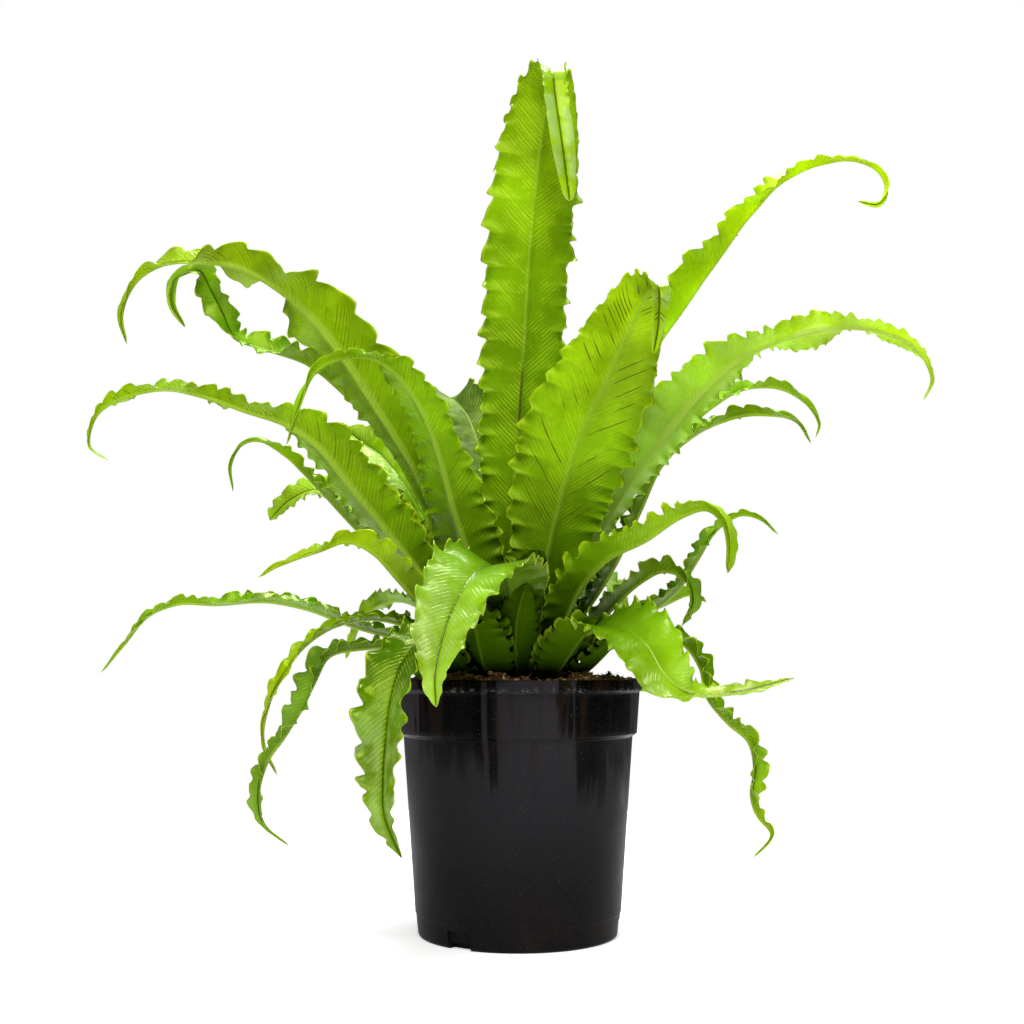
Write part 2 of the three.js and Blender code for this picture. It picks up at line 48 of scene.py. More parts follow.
# Puts points and faces into a new mesh object at the origin. Caps are faces of any number of corners.
def makePiece(name, points, faces, caps=()):
    sizes = [np.full(len(faces), faces.shape[1])] + [[len(cap)] for cap in caps]
    sizes = np.concatenate(sizes).astype(np.int32)
    corners = np.concatenate([faces.ravel(), *caps]).astype(np.int32)
    mesh = bpy.data.meshes.new(name)
    mesh.vertices.add(len(points))
    mesh.vertices.foreach_set("co", np.asarray(points, np.float32).ravel())
    mesh.loops.add(len(corners))
    mesh.loops.foreach_set("vertex_index", corners)
    mesh.polygons.add(len(sizes))
    mesh.polygons.foreach_set("loop_start", (np.cumsum(sizes) - sizes).astype(np.int32))
    mesh.update(calc_edges=True)
    mesh.shade_smooth()
    piece = bpy.data.objects.new(name, mesh)
    bpy.context.scene.collection.objects.link(piece)
    return piece


# Points in rings about Z, from the radius and the height of each ring.
def ringPoints(radius, height, sides):
    angle = 2 * np.pi * np.arange(sides) / sides
    x, y = radius * np.cos(angle), radius * np.sin(angle)
    return np.stack([x, y, height + 0 * x], axis=-1)


# Faces between neighbours of a grid of rings: the last column meets the first.
def ringFaces(rows, columns):
    corner = np.arange(rows * columns).reshape(rows, columns)
    ahead = np.roll(corner, -1, axis=1)
    return np.stack([corner[:-1], ahead[:-1], ahead[1:], corner[1:]], axis=-1).reshape(-1, 4)


# A closed skin over a grid of rings, with a face across the first ring and across the last.
def makeSkin(name, grid):
    rows, columns = grid.shape[:2]
    corner = np.arange(rows * columns).reshape(rows, columns)
    faces = ringFaces(rows, columns)[:, ::-1]
    return makePiece(name, grid.reshape(-1, 3) * mm, faces, (corner[0], corner[-1, ::-1]))


# The ways out from the axis and round it, at each angle.
def outAndRound(turn):
    flat = np.zeros(len(turn))
    out = np.stack([np.cos(turn), np.sin(turn), flat], axis=-1)
    return out, np.stack([-np.sin(turn), np.cos(turn), flat], axis=-1)


def setAttribute(piece, name, kind, values):
    layer = piece.data.attributes.new(name, kind, "POINT")
    field = "vector" if kind == "FLOAT_VECTOR" else "value"
    layer.data.foreach_set(field, np.asarray(values, np.float32).ravel())


# Gives the piece its material, hangs it on the root and hides the solids that it stands for.
def settle(piece, material, slot, *nodes):
    piece.data.materials.append(material)
    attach(piece, "root")
    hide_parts(*nodes)


# Node trees written as sums

# Gives an input a link or a number.
def plug(socket, value):
    if isinstance(value, bpy.types.NodeSocket):
        socket.id_data.links.new(value, socket)
    else:
        socket.default_value = value


# Adds a node, sets its options and fills its inputs.
def addNode(tree, kind, inputs=None, **options):
    item = tree.nodes.new(kind)
    for key, value in options.items():
        setattr(item, key, value)
    for key, value in (inputs or {}).items():
        plug(item.inputs[key], value)
    return item


# The node tree of the first socket among the values.
def treeOf(*values):
    return next(value.id_data for value in values if isinstance(value, bpy.types.NodeSocket))


def sums(operation, *values, clamp=False):
    inputs = dict(enumerate(values))
    return addNode(treeOf(*values), "ShaderNodeMath", inputs, operation=operation, use_clamp=clamp).outputs[0]


# The product of all the values.
def times(product, *others, clamp=False):
    for value in others:
        product = sums("MULTIPLY", product, value, clamp=clamp)
    return product


# A value times a factor, and an offset added.
def scaled(value, factor, offset):
    return sums("MULTIPLY_ADD", value, factor, offset)


# A value that climbs smoothly from 0 at low to 1 at high.
def climb(value, low, high):
    inputs = {"Value": value, "From Min": low, "From Max": high}
    return addNode(value.id_data, "ShaderNodeMapRange", inputs, interpolation_type="SMOOTHSTEP").outputs[0]


def blendColours(share, first, second, kind="MIX"):
    colours = [(*value, 1) if isinstance(value, tuple) else value for value in (first, second)]
    inputs = {0: share, 6: colours[0], 7: colours[1]}
    tree = treeOf(share, first, second)
    return addNode(tree, "ShaderNodeMix", inputs, data_type="RGBA", blend_type=kind).outputs[2]


# Lays the named colours over the first one in turn, each by its own share.
def paint(looks, colour, *layers):
    for share, name in layers:
        colour = blendColours(share, colour, looks[name])
    return colour


def cloud(place, scale, detail=2.0, roughness=0.5):
    inputs = {"Vector": place, "Scale": scale, "Detail": detail, "Roughness": roughness}
    return addNode(place.id_data, "ShaderNodeTexNoise", inputs).outputs["Fac"]


# The place in the object, in metres, with its height scaled: less than 1 draws a cloud out upright.
def objectPlace(tree, upright=1):
    place = addNode(tree, "ShaderNodeTexCoord").outputs["Object"]
    return addNode(tree, "ShaderNodeMapping", {"Vector": place, "Scale": (1, 1, upright)}).outputs[0]


def splitVector(vector):
    return addNode(vector.id_data, "ShaderNodeSeparateXYZ", {0: vector}).outputs


# Adds the clouds of the looks to the values by name. Gives the function that multiplies climbs of the
# looks, each named with the value that it follows and the two ends that it climbs between.
def climbsOf(tree, looks, values):
    for name, numbers in looks["clouds"].items():
        values[name] = cloud(objectPlace(tree, looks.get("upright", {}).get(name, 1)), *numbers)

    def climbs(*names):
        chosen = [looks["climbs"][name] for name in names]
        return times(*(climb(values[value], low, high) for value, low, high in chosen))

    return climbs


def readAttribute(tree, name, output="Fac"):
    return addNode(tree, "ShaderNodeAttribute", attribute_name=name).outputs[output]


def newMaterial(name):
    material = bpy.data.materials.new(name)
    material.use_nodes = True
    tree = material.node_tree
    return material, tree, tree.nodes["Principled BSDF"]


# Gives the shader its colour and roughness, and a bump of the given strength and depth.
def wireShader(shader, colour, rough, specular, height, strength, depth):
    inputs = {"Height": height, "Strength": strength, "Distance": depth}
    bump = addNode(shader.id_data, "ShaderNodeBump", inputs).outputs[0]
    wires = {"Base Color": colour, "Roughness": rough, "Specular IOR Level": specular, "Normal": bump}
    for key, value in wires.items():
        plug(shader.inputs[key], value)
    return bump


# Fronds

blade = dict(
    stalkEnd=12, openAt=30,         # the stalk opens into the blade between these, mm from the foot
    stalkAbove=1.3, stalkBeneath=2,
    baseFrom=(9, 24), baseTo=(95, 60), baseLimit=0.8,  # where a frond keeps at least its base width
    baseLobe=8.5, lobeGrowth=0.2,   # a lobe's length is the base and this share of the half width
    lobeChange=(0.3, 0.7),          # the frond's own scale of lobes sets in over this share of it
    halfThickness=0.3, camber=0.05,
    ribWidth=1.7, ribDepth=1.7, groove=0.45,
    slimRib=0.2, slimWidth=9,       # the rib thins out with the blade
    tooth=0.27, toothWidth=0.09, toothLimit=0.45,  # a lobe stands out by a share of length and width
    cupBase=6, cupGrowth=0.6, cupWidest=26, cupLimit=1.6, cupScale=1.2,
    curl=0.1, curlFrom=2, curlSpan=18, wander=0.5,
    foldSoftness=2.5,
    tipLength=7, tipPoint=0.998, tipSkin=(1.5, 0.1),
    calmSpan=0.1, calmLimit=1.05,   # the lobes die away over this span, which ends by the limit
    # towards the tip the blade turns to and fro over this length, between these shares of it all
    twistLength=62, twistFrom=(0.5, 0.75), twistTo=(1, 0.9),
    thinnest=0.8, wideFrom=13,      # half widths: the least, and where a blade has the wide columns
    rowsBetween=(70, 480),
)
# A crisp margin draws in and turns up, and its curls run in loops.
crispness = dict(fullWidth=12, calmTeeth=0.8, curl=2.1, drawIn=0.1, loop=1.7, turnUp=0.2)
# At a knot the margin is crisper, with fewer lobes and more frill.
knotShape = dict(spread=0.04, crisp=0.3, calmer=0.55, frill=1.2)
# Ranges of the lobes' lengths, teeth and cups, and how a lobe leaps out, sinks back and dips.
lobeShape = dict(drawn=(1.6, 4), length=(0.6, 1.35), start=0.8, size=(0.3, 1.15), turn=(0.4, 1.4),
    leap=0.18, sink=1.5, cupPower=0.8, dip=0.4, middle=0.45, wanderRates=(0.9, 1.6, 2.5))
footing = dict(halfWidth=3, depth=11, mouth=6, lean={9: 4, 22: 13, 35: 34})
crownShape = dict(radius=42, top=184, foot=150.4, level=162)

# Where the columns stand across half a blade, closer together at the rib and the margin.
wideColumns = np.array([0, 0.035, 0.08, 0.15, 0.25, 0.37, 0.49, 0.6, 0.7, 0.785, 0.86, 0.92, 0.965, 1])
narrowColumns = np.array([0, 0.08, 0.19, 0.36, 0.54, 0.7, 0.83, 0.93, 1])

# What a frond has unless it says otherwise.
plainFrond = dict(
    ruffle=0.3, fold=24,            # how far the margin waves, and the fold along the rib in degrees
    tone=0.9, warmth=0.05, sori=0,  # how light, how yellow and how full of spores
    frill=1, lobes=1, calm=0.85,    # curls at the edge, scale of the lobes, and where both calm down
    twist=32, rib=0.6,              # the turning of the tip in degrees, and how pale the rib is
    crisp=0, curls=1.6, knots=(),   # how crisp, curls per lobe, and places with denser curls
    base=11, rowStep=1.4,           # half width at the base, and mm between rows of points
    # how much pale painted highlight lies on the upper side towards the tip
    paintedSheen=0.1, finish="plain",
)

# For each frond: its hole in the crown (ring radius, angle), what is not plain about it, and its midrib
# as x, y, z, half width and roll.
fronds = {
    "frond_tall_centre": dict(
        hole=(9, 275), ruffle=0.22, fold=14, tone=1.06, warmth=0.24, sori=-0.8, frill=0.9, lobes=1.15,
        calm=0.82, twist=0, rib=0.3, knots=((0.74, 2), (0.8, 3)), base=13, rowStep=0.9, paintedSheen=0.6,
        spine=[(-5, -16, 217, 15), (-4, -23, 269, 21), (0, -31, 327, 26), (4, -39, 385, 28),
            (7, -46, 437, 30), (12, -54, 488, 30), (17, -60, 528, 27), (19, -65, 545, 22),
            (20, -76, 553, 12), (22, -85, 544, 9), (24, -89, 525, 8.5), (28, -89, 495, 8),
            (32, -88, 462, 4)]),
    "frond_big_right": dict(
        hole=(22, 292), ruffle=0.2, fold=16, tone=1.06, warmth=0.28, sori=1, frill=0.9, calm=0.87,
        twist=0, rib=0.35, knots=((0.7, 1.8), (0.78, 2.5), (0.85, 2.5)), base=14, rowStep=0.9, paintedSheen=0.6,
        spine=[(12, -34, 212, 16, -10), (19, -46, 246, 27, -22), (28, -60, 284, 36, -25),
            (38, -74, 317, 38, -25), (52, -90, 345, 34, -25), (66, -104, 376, 27, -25),
            (76, -114, 396, 18, -20), (82, -126, 398, 9), (82, -131, 376, 5), (79, -128, 356, 2)]),
    "frond_left_centre": dict(
        hole=(22, 236), ruffle=0.24, fold=20, tone=0.92, sori=0.35, calm=0.76, rib=0.8,
        spine=[(-21, -34, 211, 15, 10), (-31, -46, 240, 24, 20), (-41, -58, 270, 22, 20),
            (-50, -70, 305, 17, 20), (-60, -82, 331, 15, 15), (-73, -94, 349, 12), (-88, -105, 359, 9),
            (-106, -117, 356, 6), (-121, -125, 345, 5), (-129, -131, 322, 4), (-135, -132, 301, 1.2)]),
    "frond_left_upper": dict(
        hole=(9, 165), ruffle=0.22, fold=22, tone=0.93, warmth=0.42, sori=0.5, frill=0.8, lobes=1.7,
        calm=0.88, rib=1,
        spine=[(-28, -8, 217, 12, 10), (-50, -16, 262, 18.5, 30), (-72, -26, 307, 23, 55),
            (-95, -36, 343, 28, 68), (-118, -46, 377, 30, 70), (-141, -54, 403, 26, 68),
            (-164, -60, 420, 20, 55), (-188, -62, 429, 15, 35), (-229, -62, 429, 9), (-246, -62, 416, 5),
            (-253, -62, 396, 4), (-249, -62, 377, 1.2)]),
    "frond_left_upper_back": dict(
        hole=(22, 155), ruffle=0.26, fold=20, tone=0.75, warmth=-0.05, lobes=1.3, calm=0.84, rib=0.5,
        spine=[(-36, 24, 225, 12), (-60, 32, 274, 15.5, 20), (-88, 40, 324, 17, 30),
            (-120, 48, 363, 18, 30), (-152, 54, 390, 16, 15), (-184, 54, 401, 13, -10),
            (-203, 50, 408, 10, -50), (-211, 44, 424, 11, -80), (-219, 40, 440, 11, -80),
            (-226, 34, 452, 8, -50), (-240, 24, 444, 5, -10), (-241, 18, 424, 3), (-231, 16, 407, 1.2)]),
    "frond_left_middle": dict(
        hole=(22, 209), ruffle=0.26, tone=0.97, warmth=0.18, sori=0.5, lobes=1.2, calm=0.9, rib=1,
        spine=[(-36, -38, 202, 12), (-58, -50, 228, 16.5, 20), (-82, -58, 256, 21, 40),
            (-104, -66, 283, 22, 45), (-124, -72, 308, 21, 40), (-145, -76, 323, 17, 25),
            (-169, -80, 331, 11, 10), (-215, -84, 344, 9), (-240, -84, 340, 7), (-260, -84, 328, 4),
            (-264, -84, 308, 2), (-252, -84, 299, 0.9)]),
    "frond_left_thin_back": dict(
        hole=(35, 176), fold=30, tone=0.75, frill=1.2, lobes=1.1, calm=0.72, rib=0.5,
        spine=[(-50, 8, 205, 11), (-80, 12, 236, 11.5), (-115, 16, 272, 11), (-140, 18, 299, 9),
            (-160, 20, 318, 7), (-178, 20, 328, 4), (-191, 20, 325, 3), (-198, 20, 311, 2.5),
            (-196, 20, 292, 1)]),
    "frond_left_blunt": dict(
        hole=(35, 158), ruffle=0.2, fold=12, tone=0.95, warmth=0.25, lobes=0.8, calm=1, twist=0, rib=0.4,
        spine=[(-52, 31, 212, 8.8), (-86, 46, 251, 12.5), (-120, 60, 286, 12, -15),
            (-146, 70, 300, 13, -40), (-166, 76, 293, 12, -55), (-181, 80, 279, 7, -55)]),
    "frond_left_yellow_tip": dict(
        hole=(35, 218), ruffle=0.26, tone=0.95, warmth=0.6, frill=0.8, calm=0.8, rib=0.7,
        spine=[(-42, -50, 189, 8), (-58, -64, 208, 15), (-74, -76, 227, 18), (-89, -84, 243, 14),
            (-105, -90, 249, 8), (-121, -94, 243, 6), (-146, -98, 233, 4), (-156, -100, 226, 1.2)]),
    "frond_left_low_long": dict(
        hole=(35, 190), fold=26, tone=0.78, warmth=0.1, lobes=1.2, calm=0.86, rib=0.8,
        spine=[(-52, -16, 185, 10), (-80, -26, 192, 10.5), (-108, -34, 200, 10), (-134, -40, 210, 11),
            (-161, -44, 215, 10), (-189, -46, 213, 7), (-217, -46, 213, 6), (-235, -46, 205, 4),
            (-250, -46, 187, 3), (-264, -46, 169, 1)]),
    "frond_left_yellow_rib": dict(hole=(35, 204), warmth=0.8, frill=0.8, lobes=1.3, calm=0.8, rib=1,
        spine=[(-48, -38, 186, 7.5), (-68, -56, 198, 8.5), (-90, -70, 203, 7), (-113, -79, 198, 7),
            (-130, -85, 186, 6), (-141, -88, 170, 5), (-150, -90, 151, 4), (-153, -90, 130, 3),
            (-144, -90, 109, 1)]),
    "frond_left_hanging": dict(
        hole=(35, 232), ruffle=0.32, fold=26, tone=0.82, warmth=-0.5, frill=1.2, lobes=1.2, calm=0.86,
        rib=0.8,
        spine=[(-38, -60, 180, 9), (-64, -78, 185, 9.5), (-92, -91, 185, 9), (-113, -100, 180, 10),
            (-121, -104, 165, 12), (-128, -106, 149, 9), (-138, -108, 133, 8), (-148, -108, 118, 7),
            (-152, -108, 99, 6), (-148, -108, 82, 3), (-133, -104, 69, 0.9)]),
    "frond_front_left_hanging": dict(
        hole=(35, 247), ruffle=0.26, fold=20, tone=0.5, warmth=0.14, frill=1.2, lobes=1.35, calm=0.95,
        twist=0, rib=-0.3, paintedSheen=0.3,
        spine=[(-24, -62, 184, 11.5), (-38, -86, 194, 16), (-56, -112, 190, 19), (-68, -128, 174, 21),
            (-73, -138, 154, 20), (-75, -142, 132, 17), (-76, -144, 110, 13), (-75, -144, 91, 9),
            (-65, -144, 68, 1.5)]),
    "frond_front_fold": dict(
        hole=(35, 264), ruffle=0.24, fold=16, warmth=0.2, frill=1.3, lobes=1.35, calm=1, twist=0,
        rib=-0.3, crisp=0.3, base=16, paintedSheen=0.2, finish="wet",
        spine=[(-4, -56, 192, 17), (-4, -72, 210, 22), (-8, -94, 227, 26, -10), (-18, -117, 232, 28, -24),
            (-29, -138, 222, 27, -28), (-38, -152, 204, 23, -28), (-43, -162, 187, 17, -26),
            (-46, -168, 170, 9, -20), (-45, -171, 152, 3)]),
    "frond_front_centre": dict(
        hole=(22, 268), fold=26, tone=0.5, warmth=0, frill=2, calm=1, twist=0, rib=0.12, crisp=1,
        curls=1, base=15, finish="shaded",
        spine=[(3, -38, 200, 12), (6, -48, 220, 13.5), (9, -57, 236, 13), (12, -67, 246, 3)]),
    "frond_front_right_fold": dict(
        hole=(35, 299), ruffle=0.22, fold=16, tone=1.2, warmth=0.42, frill=1.5, lobes=1.15, calm=1,
        twist=15, rib=0.2, crisp=0.22, base=16, paintedSheen=0.2, finish="wet",
        spine=[(26, -56, 183, 16), (37, -70, 191, 19), (50, -84, 197, 22, 12), (63, -99, 196, 23, 30),
            (75, -112, 186, 22, 42), (84, -120, 170, 18, 40), (96, -125, 159, 12, 20), (112, -126, 158, 9),
            (135, -126, 161, 5), (159, -122, 167, 1)]),
    "frond_right_upper": dict(
        hole=(9, 8), ruffle=0.2, fold=34, tone=1.5, warmth=0.6, frill=0.9, lobes=1.2, calm=0.84, rib=0.3,
        spine=[(26, 10, 224, 14), (50, 17, 286, 19.5, -10), (75, 24, 350, 23, -25), (96, 28, 394, 26, -30),
            (116, 30, 423, 25, -30), (140, 32, 458, 21, -25), (164, 34, 491, 14, -10), (192, 34, 520, 8),
            (235, 34, 534, 5), (255, 32, 527, 4), (262, 28, 512, 4), (255, 24, 498, 3),
            (240, 22, 499, 1.2)]),
    "frond_right_middle": dict(
        hole=(22, 340), ruffle=0.22, fold=15, tone=1.45, warmth=0.4, frill=1.2, lobes=0.9, calm=0.9,
        rib=1, finish="wet",
        spine=[(33, -15, 218, 13, -8), (53, -20, 259, 19, -18), (77, -27, 298, 25, -25),
            (101, -32, 328, 31, -24), (124, -36, 355, 26, -22), (148, -40, 374, 18, -22),
            (177, -42, 386, 14, -28), (206, -44, 392, 11, -30), (234, -44, 390, 8, -28),
            (260, -44, 376, 4, -15), (268, -44, 358, 3), (262, -44, 344, 1)]),
    "frond_right_back_upper": dict(
        hole=(22, 32), ruffle=0.28, fold=28, tone=1.1, warmth=0, frill=1.2, lobes=1.1, calm=0.8, rib=1,
        spine=[(40, 32, 226, 12), (74, 50, 283, 14.5), (110, 62, 331, 13), (144, 72, 363, 11),
            (171, 78, 377, 8), (198, 82, 376, 7), (216, 84, 364, 5), (223, 84, 350, 3), (220, 84, 340, 1)]),
    "frond_right_back_lower": dict(
        hole=(22, 6), fold=30, tone=0.75, warmth=0, frill=1.2, lobes=1.1, calm=0.8, rib=1,
        spine=[(42, 6, 206, 11), (65, 8, 241, 13.5), (83, 10, 279, 12), (98, 12, 310, 9), (119, 14, 330, 8),
            (146, 16, 343, 8), (173, 16, 346, 7), (192, 16, 341, 4), (202, 16, 325, 1)]),
    "frond_right_tip_hanging": dict(
        hole=(22, 316), ruffle=0.22, fold=26, tone=1.15, warmth=0.25, frill=1.6, calm=0.72, twist=0,
        rib=0.8, crisp=0.4, curls=1.2,
        spine=[(28, -40, 199, 17), (40, -56, 223, 21), (56, -72, 240, 22), (77, -88, 250, 18),
            (97, -100, 263, 12), (112, -108, 267, 9), (121, -112, 259, 8), (124, -114, 245, 8),
            (123, -112, 228, 4)]),
    "frond_right_thin": dict(hole=(35, 352), fold=26, tone=0.8, warmth=0, frill=1.2,
        spine=[(50, -16, 188, 9.5), (78, -24, 204, 11.5), (102, -28, 222, 10), (116, -30, 243, 9),
            (128, -32, 261, 6), (144, -32, 271, 4), (158, -32, 268, 3), (169, -32, 258, 1)]),
    "frond_right_droop": dict(hole=(35, 335), ruffle=0.28, tone=0.75, warmth=-0.05, frill=1.3, calm=0.95,
        spine=[(44, -34, 191, 12), (60, -46, 211, 15.5), (76, -56, 226, 13), (91, -62, 233, 10),
            (104, -66, 228, 8), (108, -68, 214, 6), (101, -68, 198, 2)]),
    "frond_right_low": dict(hole=(35, 10), ruffle=0.32, fold=26, warmth=0, frill=1.2, calm=0.95,
        spine=[(52, 6, 188, 11), (74, 8, 203, 12.5), (97, 12, 214, 9), (117, 14, 222, 7),
            (128, 14, 216, 2)]),
    "frond_right_hanging": dict(
        hole=(35, 318), ruffle=0.32, fold=26, tone=0.85, warmth=0.15, frill=1.2, lobes=1.2, calm=0.88,
        rib=0.8,
        spine=[(42, -44, 180, 12), (60, -54, 186, 13.5), (81, -64, 190, 13), (101, -71, 188, 12),
            (112, -73, 173, 11), (116, -74, 155, 9), (128, -74, 140, 10), (141, -74, 128, 9),
            (144, -74, 112, 8), (142, -74, 96, 7), (145, -74, 84, 5), (153, -74, 72, 3), (141, -74, 58, 1)]),
    "frond_back_centre": dict(
        hole=(9, 95), ruffle=0.22, fold=18, tone=0.6, warmth=-0.8, frill=0.6, calm=0.8, rib=1,
        spine=[(-8, 26, 218, 12), (-15, 42, 261, 20.5), (-22, 60, 306, 24), (-31, 80, 342, 24),
            (-42, 104, 367, 20), (-52, 130, 379, 15), (-61, 154, 377, 10), (-68, 176, 364, 5),
            (-72, 190, 346, 1.5)]),
    "frond_back_left": dict(
        hole=(22, 124), ruffle=0.2, fold=14, tone=0.8, frill=0.5, calm=0.9, twist=0, rib=0.8,
        spine=[(-34, 42, 219, 12), (-60, 64, 263, 16), (-80, 84, 300, 18, -10), (-100, 102, 328, 18, -20),
            (-114, 110, 339, 16, -30), (-126, 112, 348, 10, -30), (-132, 113, 353, 1.5, -30)]),
    "frond_back_left_low": dict(hole=(35, 140), ruffle=0.28,
        spine=[(-42, 44, 192, 11), (-62, 66, 210, 13.5), (-86, 92, 221, 13), (-108, 116, 216, 10),
            (-124, 136, 198, 5), (-132, 148, 178, 1.5)]),
    "frond_back_low": dict(hole=(35, 106), ruffle=0.28,
        spine=[(-16, 54, 194, 12), (-25, 80, 220, 14.5), (-36, 110, 238, 14), (-46, 140, 237, 11),
            (-54, 166, 220, 6), (-60, 182, 198, 1.5)]),
    "frond_back_middle": dict(hole=(22, 88), ruffle=0.24, fold=20,
        spine=[(4, 46, 206, 13), (8, 76, 244, 17.5), (12, 110, 274, 18), (17, 144, 290, 16),
            (21, 176, 286, 11), (25, 202, 266, 6), (27, 218, 240, 1.5)]),
    "frond_back_right_tall": dict(hole=(22, 58), ruffle=0.22, fold=20,
        spine=[(18, 34, 216, 12), (30, 54, 264, 17.5), (42, 76, 310, 20), (56, 102, 346, 20),
            (71, 130, 366, 16), (87, 158, 368, 10), (100, 182, 353, 5), (108, 198, 329, 1.5)]),
    "frond_back_right_low": dict(hole=(35, 66), ruffle=0.28,
        spine=[(24, 50, 193, 12), (40, 76, 218, 14.5), (56, 104, 236, 14), (70, 132, 236, 11),
            (82, 158, 220, 6), (90, 174, 198, 1.5)]),
    "frond_inner_left": dict(
        hole=(22, 184), ruffle=0.26, tone=1.1, warmth=0.8, frill=1.4, calm=1, twist=0, rib=0.4, crisp=1,
        spine=[(-37, -8, 208, 10), (-56, -16, 241, 12), (-76, -22, 272, 12), (-92, -24, 290, 9),
            (-107, -26, 291, 6), (-116, -26, 280, 1.5)]),
    "frond_young": dict(hole=(9, 222), fold=34, tone=1, warmth=0.3, calm=0.9, twist=0, rib=0.4, crisp=1,
        spine=[(-14, -10, 237, 4), (-18, -14, 273, 5), (-20, -18, 290, 4), (-20, -22, 300, 1.2)]),
}


# The height of the crown's dome: a quarter ellipse over the soil.
def domeHeight(radius):
    share = min(radius / crownShape["radius"], 1)
    return crownShape["level"] + (crownShape["top"] - crownShape["level"]) * math.sqrt(1 - share * share)


# Where a frond stands: its place on the dome, the way it grows, and the side that faces the axis.
def seatOf(hole):
    radius, angle = hole
    out = np.array([math.cos(math.radians(angle)), math.sin(math.radians(angle)), 0])
    lean = math.radians(footing["lean"][radius])
    grow = np.array([0, 0, math.cos(lean)]) + out * math.sin(lean)
    upper = -out - (-out @ grow) * grow
    return out * radius + [0, 0, domeHeight(radius)], grow, upper / np.linalg.norm(upper)


# A cubic through the points: each stretch leaves and arrives along the slope of its neighbours.
# Even spots weigh them alike, and otherwise by the root of their distances.
def curveThrough(points, spots, even=False):
    last = len(points) - 1
    start = np.clip(np.floor(spots * last).astype(int), 0, last - 1)
    part = (spots * last - start)[:, None]
    wide = np.vstack([2 * points[0] - points[1], points, 2 * points[-1] - points[-2]])
    before, a, b, after = (wide[start + k] for k in range(4))
    if even:
        slopeA, slopeB = (b - before) / 2, (after - a) / 2
    else:
        pairs = (before, a), (a, b), (b, after)
        back, here, on = (np.maximum(np.linalg.norm(q - p, axis=1), 1e-9)[:, None] ** 0.5 for p, q in pairs)
        slopeA = ((a - before) / back - (b - before) / (back + here) + (b - a) / here) * here
        slopeB = ((b - a) / here - (after - a) / (here + on) + (after - b) / on) * here
    bend, twist = 3 * (b - a) - 2 * slopeA - slopeB, 2 * (a - b) + slopeA + slopeB
    return a + slopeA * part + bend * part ** 2 + twist * part ** 3


# The midrib as rows of equal spacing: places, frames carried along without twisting, and half widths.
def midrib(frond):
    mouth, grow, upper = seatOf(frond["hole"])
    spine = np.array([(*point, 0)[:5] for point in frond["spine"]], float)
    foot = [mouth + distance * grow for distance in (-footing["depth"], 0, footing["mouth"])]
    places = np.vstack([foot, spine[:, :3]])
    sizes = np.vstack([[[footing["halfWidth"], 0]] * 3, spine[:, 3:]])
    fine = np.linspace(0, 1, 2001)
    steps = np.diff(curveThrough(places, fine), axis=0, prepend=places[:1])
    length = np.cumsum(np.linalg.norm(steps, axis=1))
    along = np.linspace(0, length[-1], int(np.clip(length[-1] / frond["rowStep"], *blade["rowsBetween"])))
    spots = np.interp(along, length, fine)
    ahead, behind = np.minimum(spots + 1e-4, 1), np.maximum(spots - 1e-4, 0)
    tangent = curveThrough(places, ahead) - curveThrough(places, behind)
    tangent /= np.linalg.norm(tangent, axis=1)[:, None]
    uppers = np.empty_like(tangent)
    for row, way in enumerate(tangent):  # each row's frame hangs on the one before
        upper = upper - (upper @ way) * way
        upper /= np.linalg.norm(upper)
        uppers[row] = upper
    size = curveThrough(sizes, spots, even=True)
    share = along / along[-1]
    twist = frond["twist"] * smoothstep(share, *blade["twistFrom"]) * smoothstep(share, *blade["twistTo"])
    twist = twist * np.sin(2 * np.pi * along / blade["twistLength"])
    roll = np.radians(size[:, 1:] + twist[:, None])
    uppers = uppers * np.cos(roll) + np.cross(tangent, uppers) * np.sin(roll)
    halfWidth = np.maximum(size[:, 0], blade["thinnest"])
    return curveThrough(places, spots), uppers, np.cross(tangent, uppers), halfWidth, along


def smoothstep(value, low, high):
    part = np.clip((value - low) / (high - low), 0, 1)
    return part * part * (3 - 2 * part)


# A slow wander between about -1 and 1: three sines of unrelated lengths with seeded starts.
def wander(spots, seed):
    starts = np.random.default_rng(seed).uniform(0, 2 * np.pi, 3)
    return sum(np.sin(spots * rate + start) for rate, start in zip(lobeShape["wanderRates"], starts)) / 3


# The margin is a row of lobes of uneven lengths. Over each lobe the edge leaps out in the first part
# and then sinks back, and the lobe cups upwards, by a sine that dips below the blade at its ends.
# Gives how far along its lobes each row is, how far the edge stands out and how far the lobe cups.
def lobesAlong(spots, seed):
    shape = lobeShape
    random = np.random.default_rng(seed)
    perSpot, spare = shape["drawn"]
    count = int(spots[-1] * perSpot) + spare
    ends = np.cumsum(random.uniform(*shape["length"], count)) - shape["start"]
    number = np.searchsorted(ends, spots)
    size = random.uniform(*shape["size"], count + 1)[number]
    turn = random.uniform(*shape["turn"], count + 1)[number]
    lengths = np.diff(ends, prepend=ends[0] - 1)
    part = np.clip(1 - (ends[number] - spots) / lengths[number], 0, 1)
    leap = shape["leap"]
    sink = 1 - ((part - leap).clip(0) / (1 - leap)) ** shape["sink"]
    edge = np.where(part < leap, smoothstep(part, 0, leap), sink)
    return number + part, size * edge, turn * (np.sin(np.pi * part) ** shape["cupPower"] - shape["dip"])


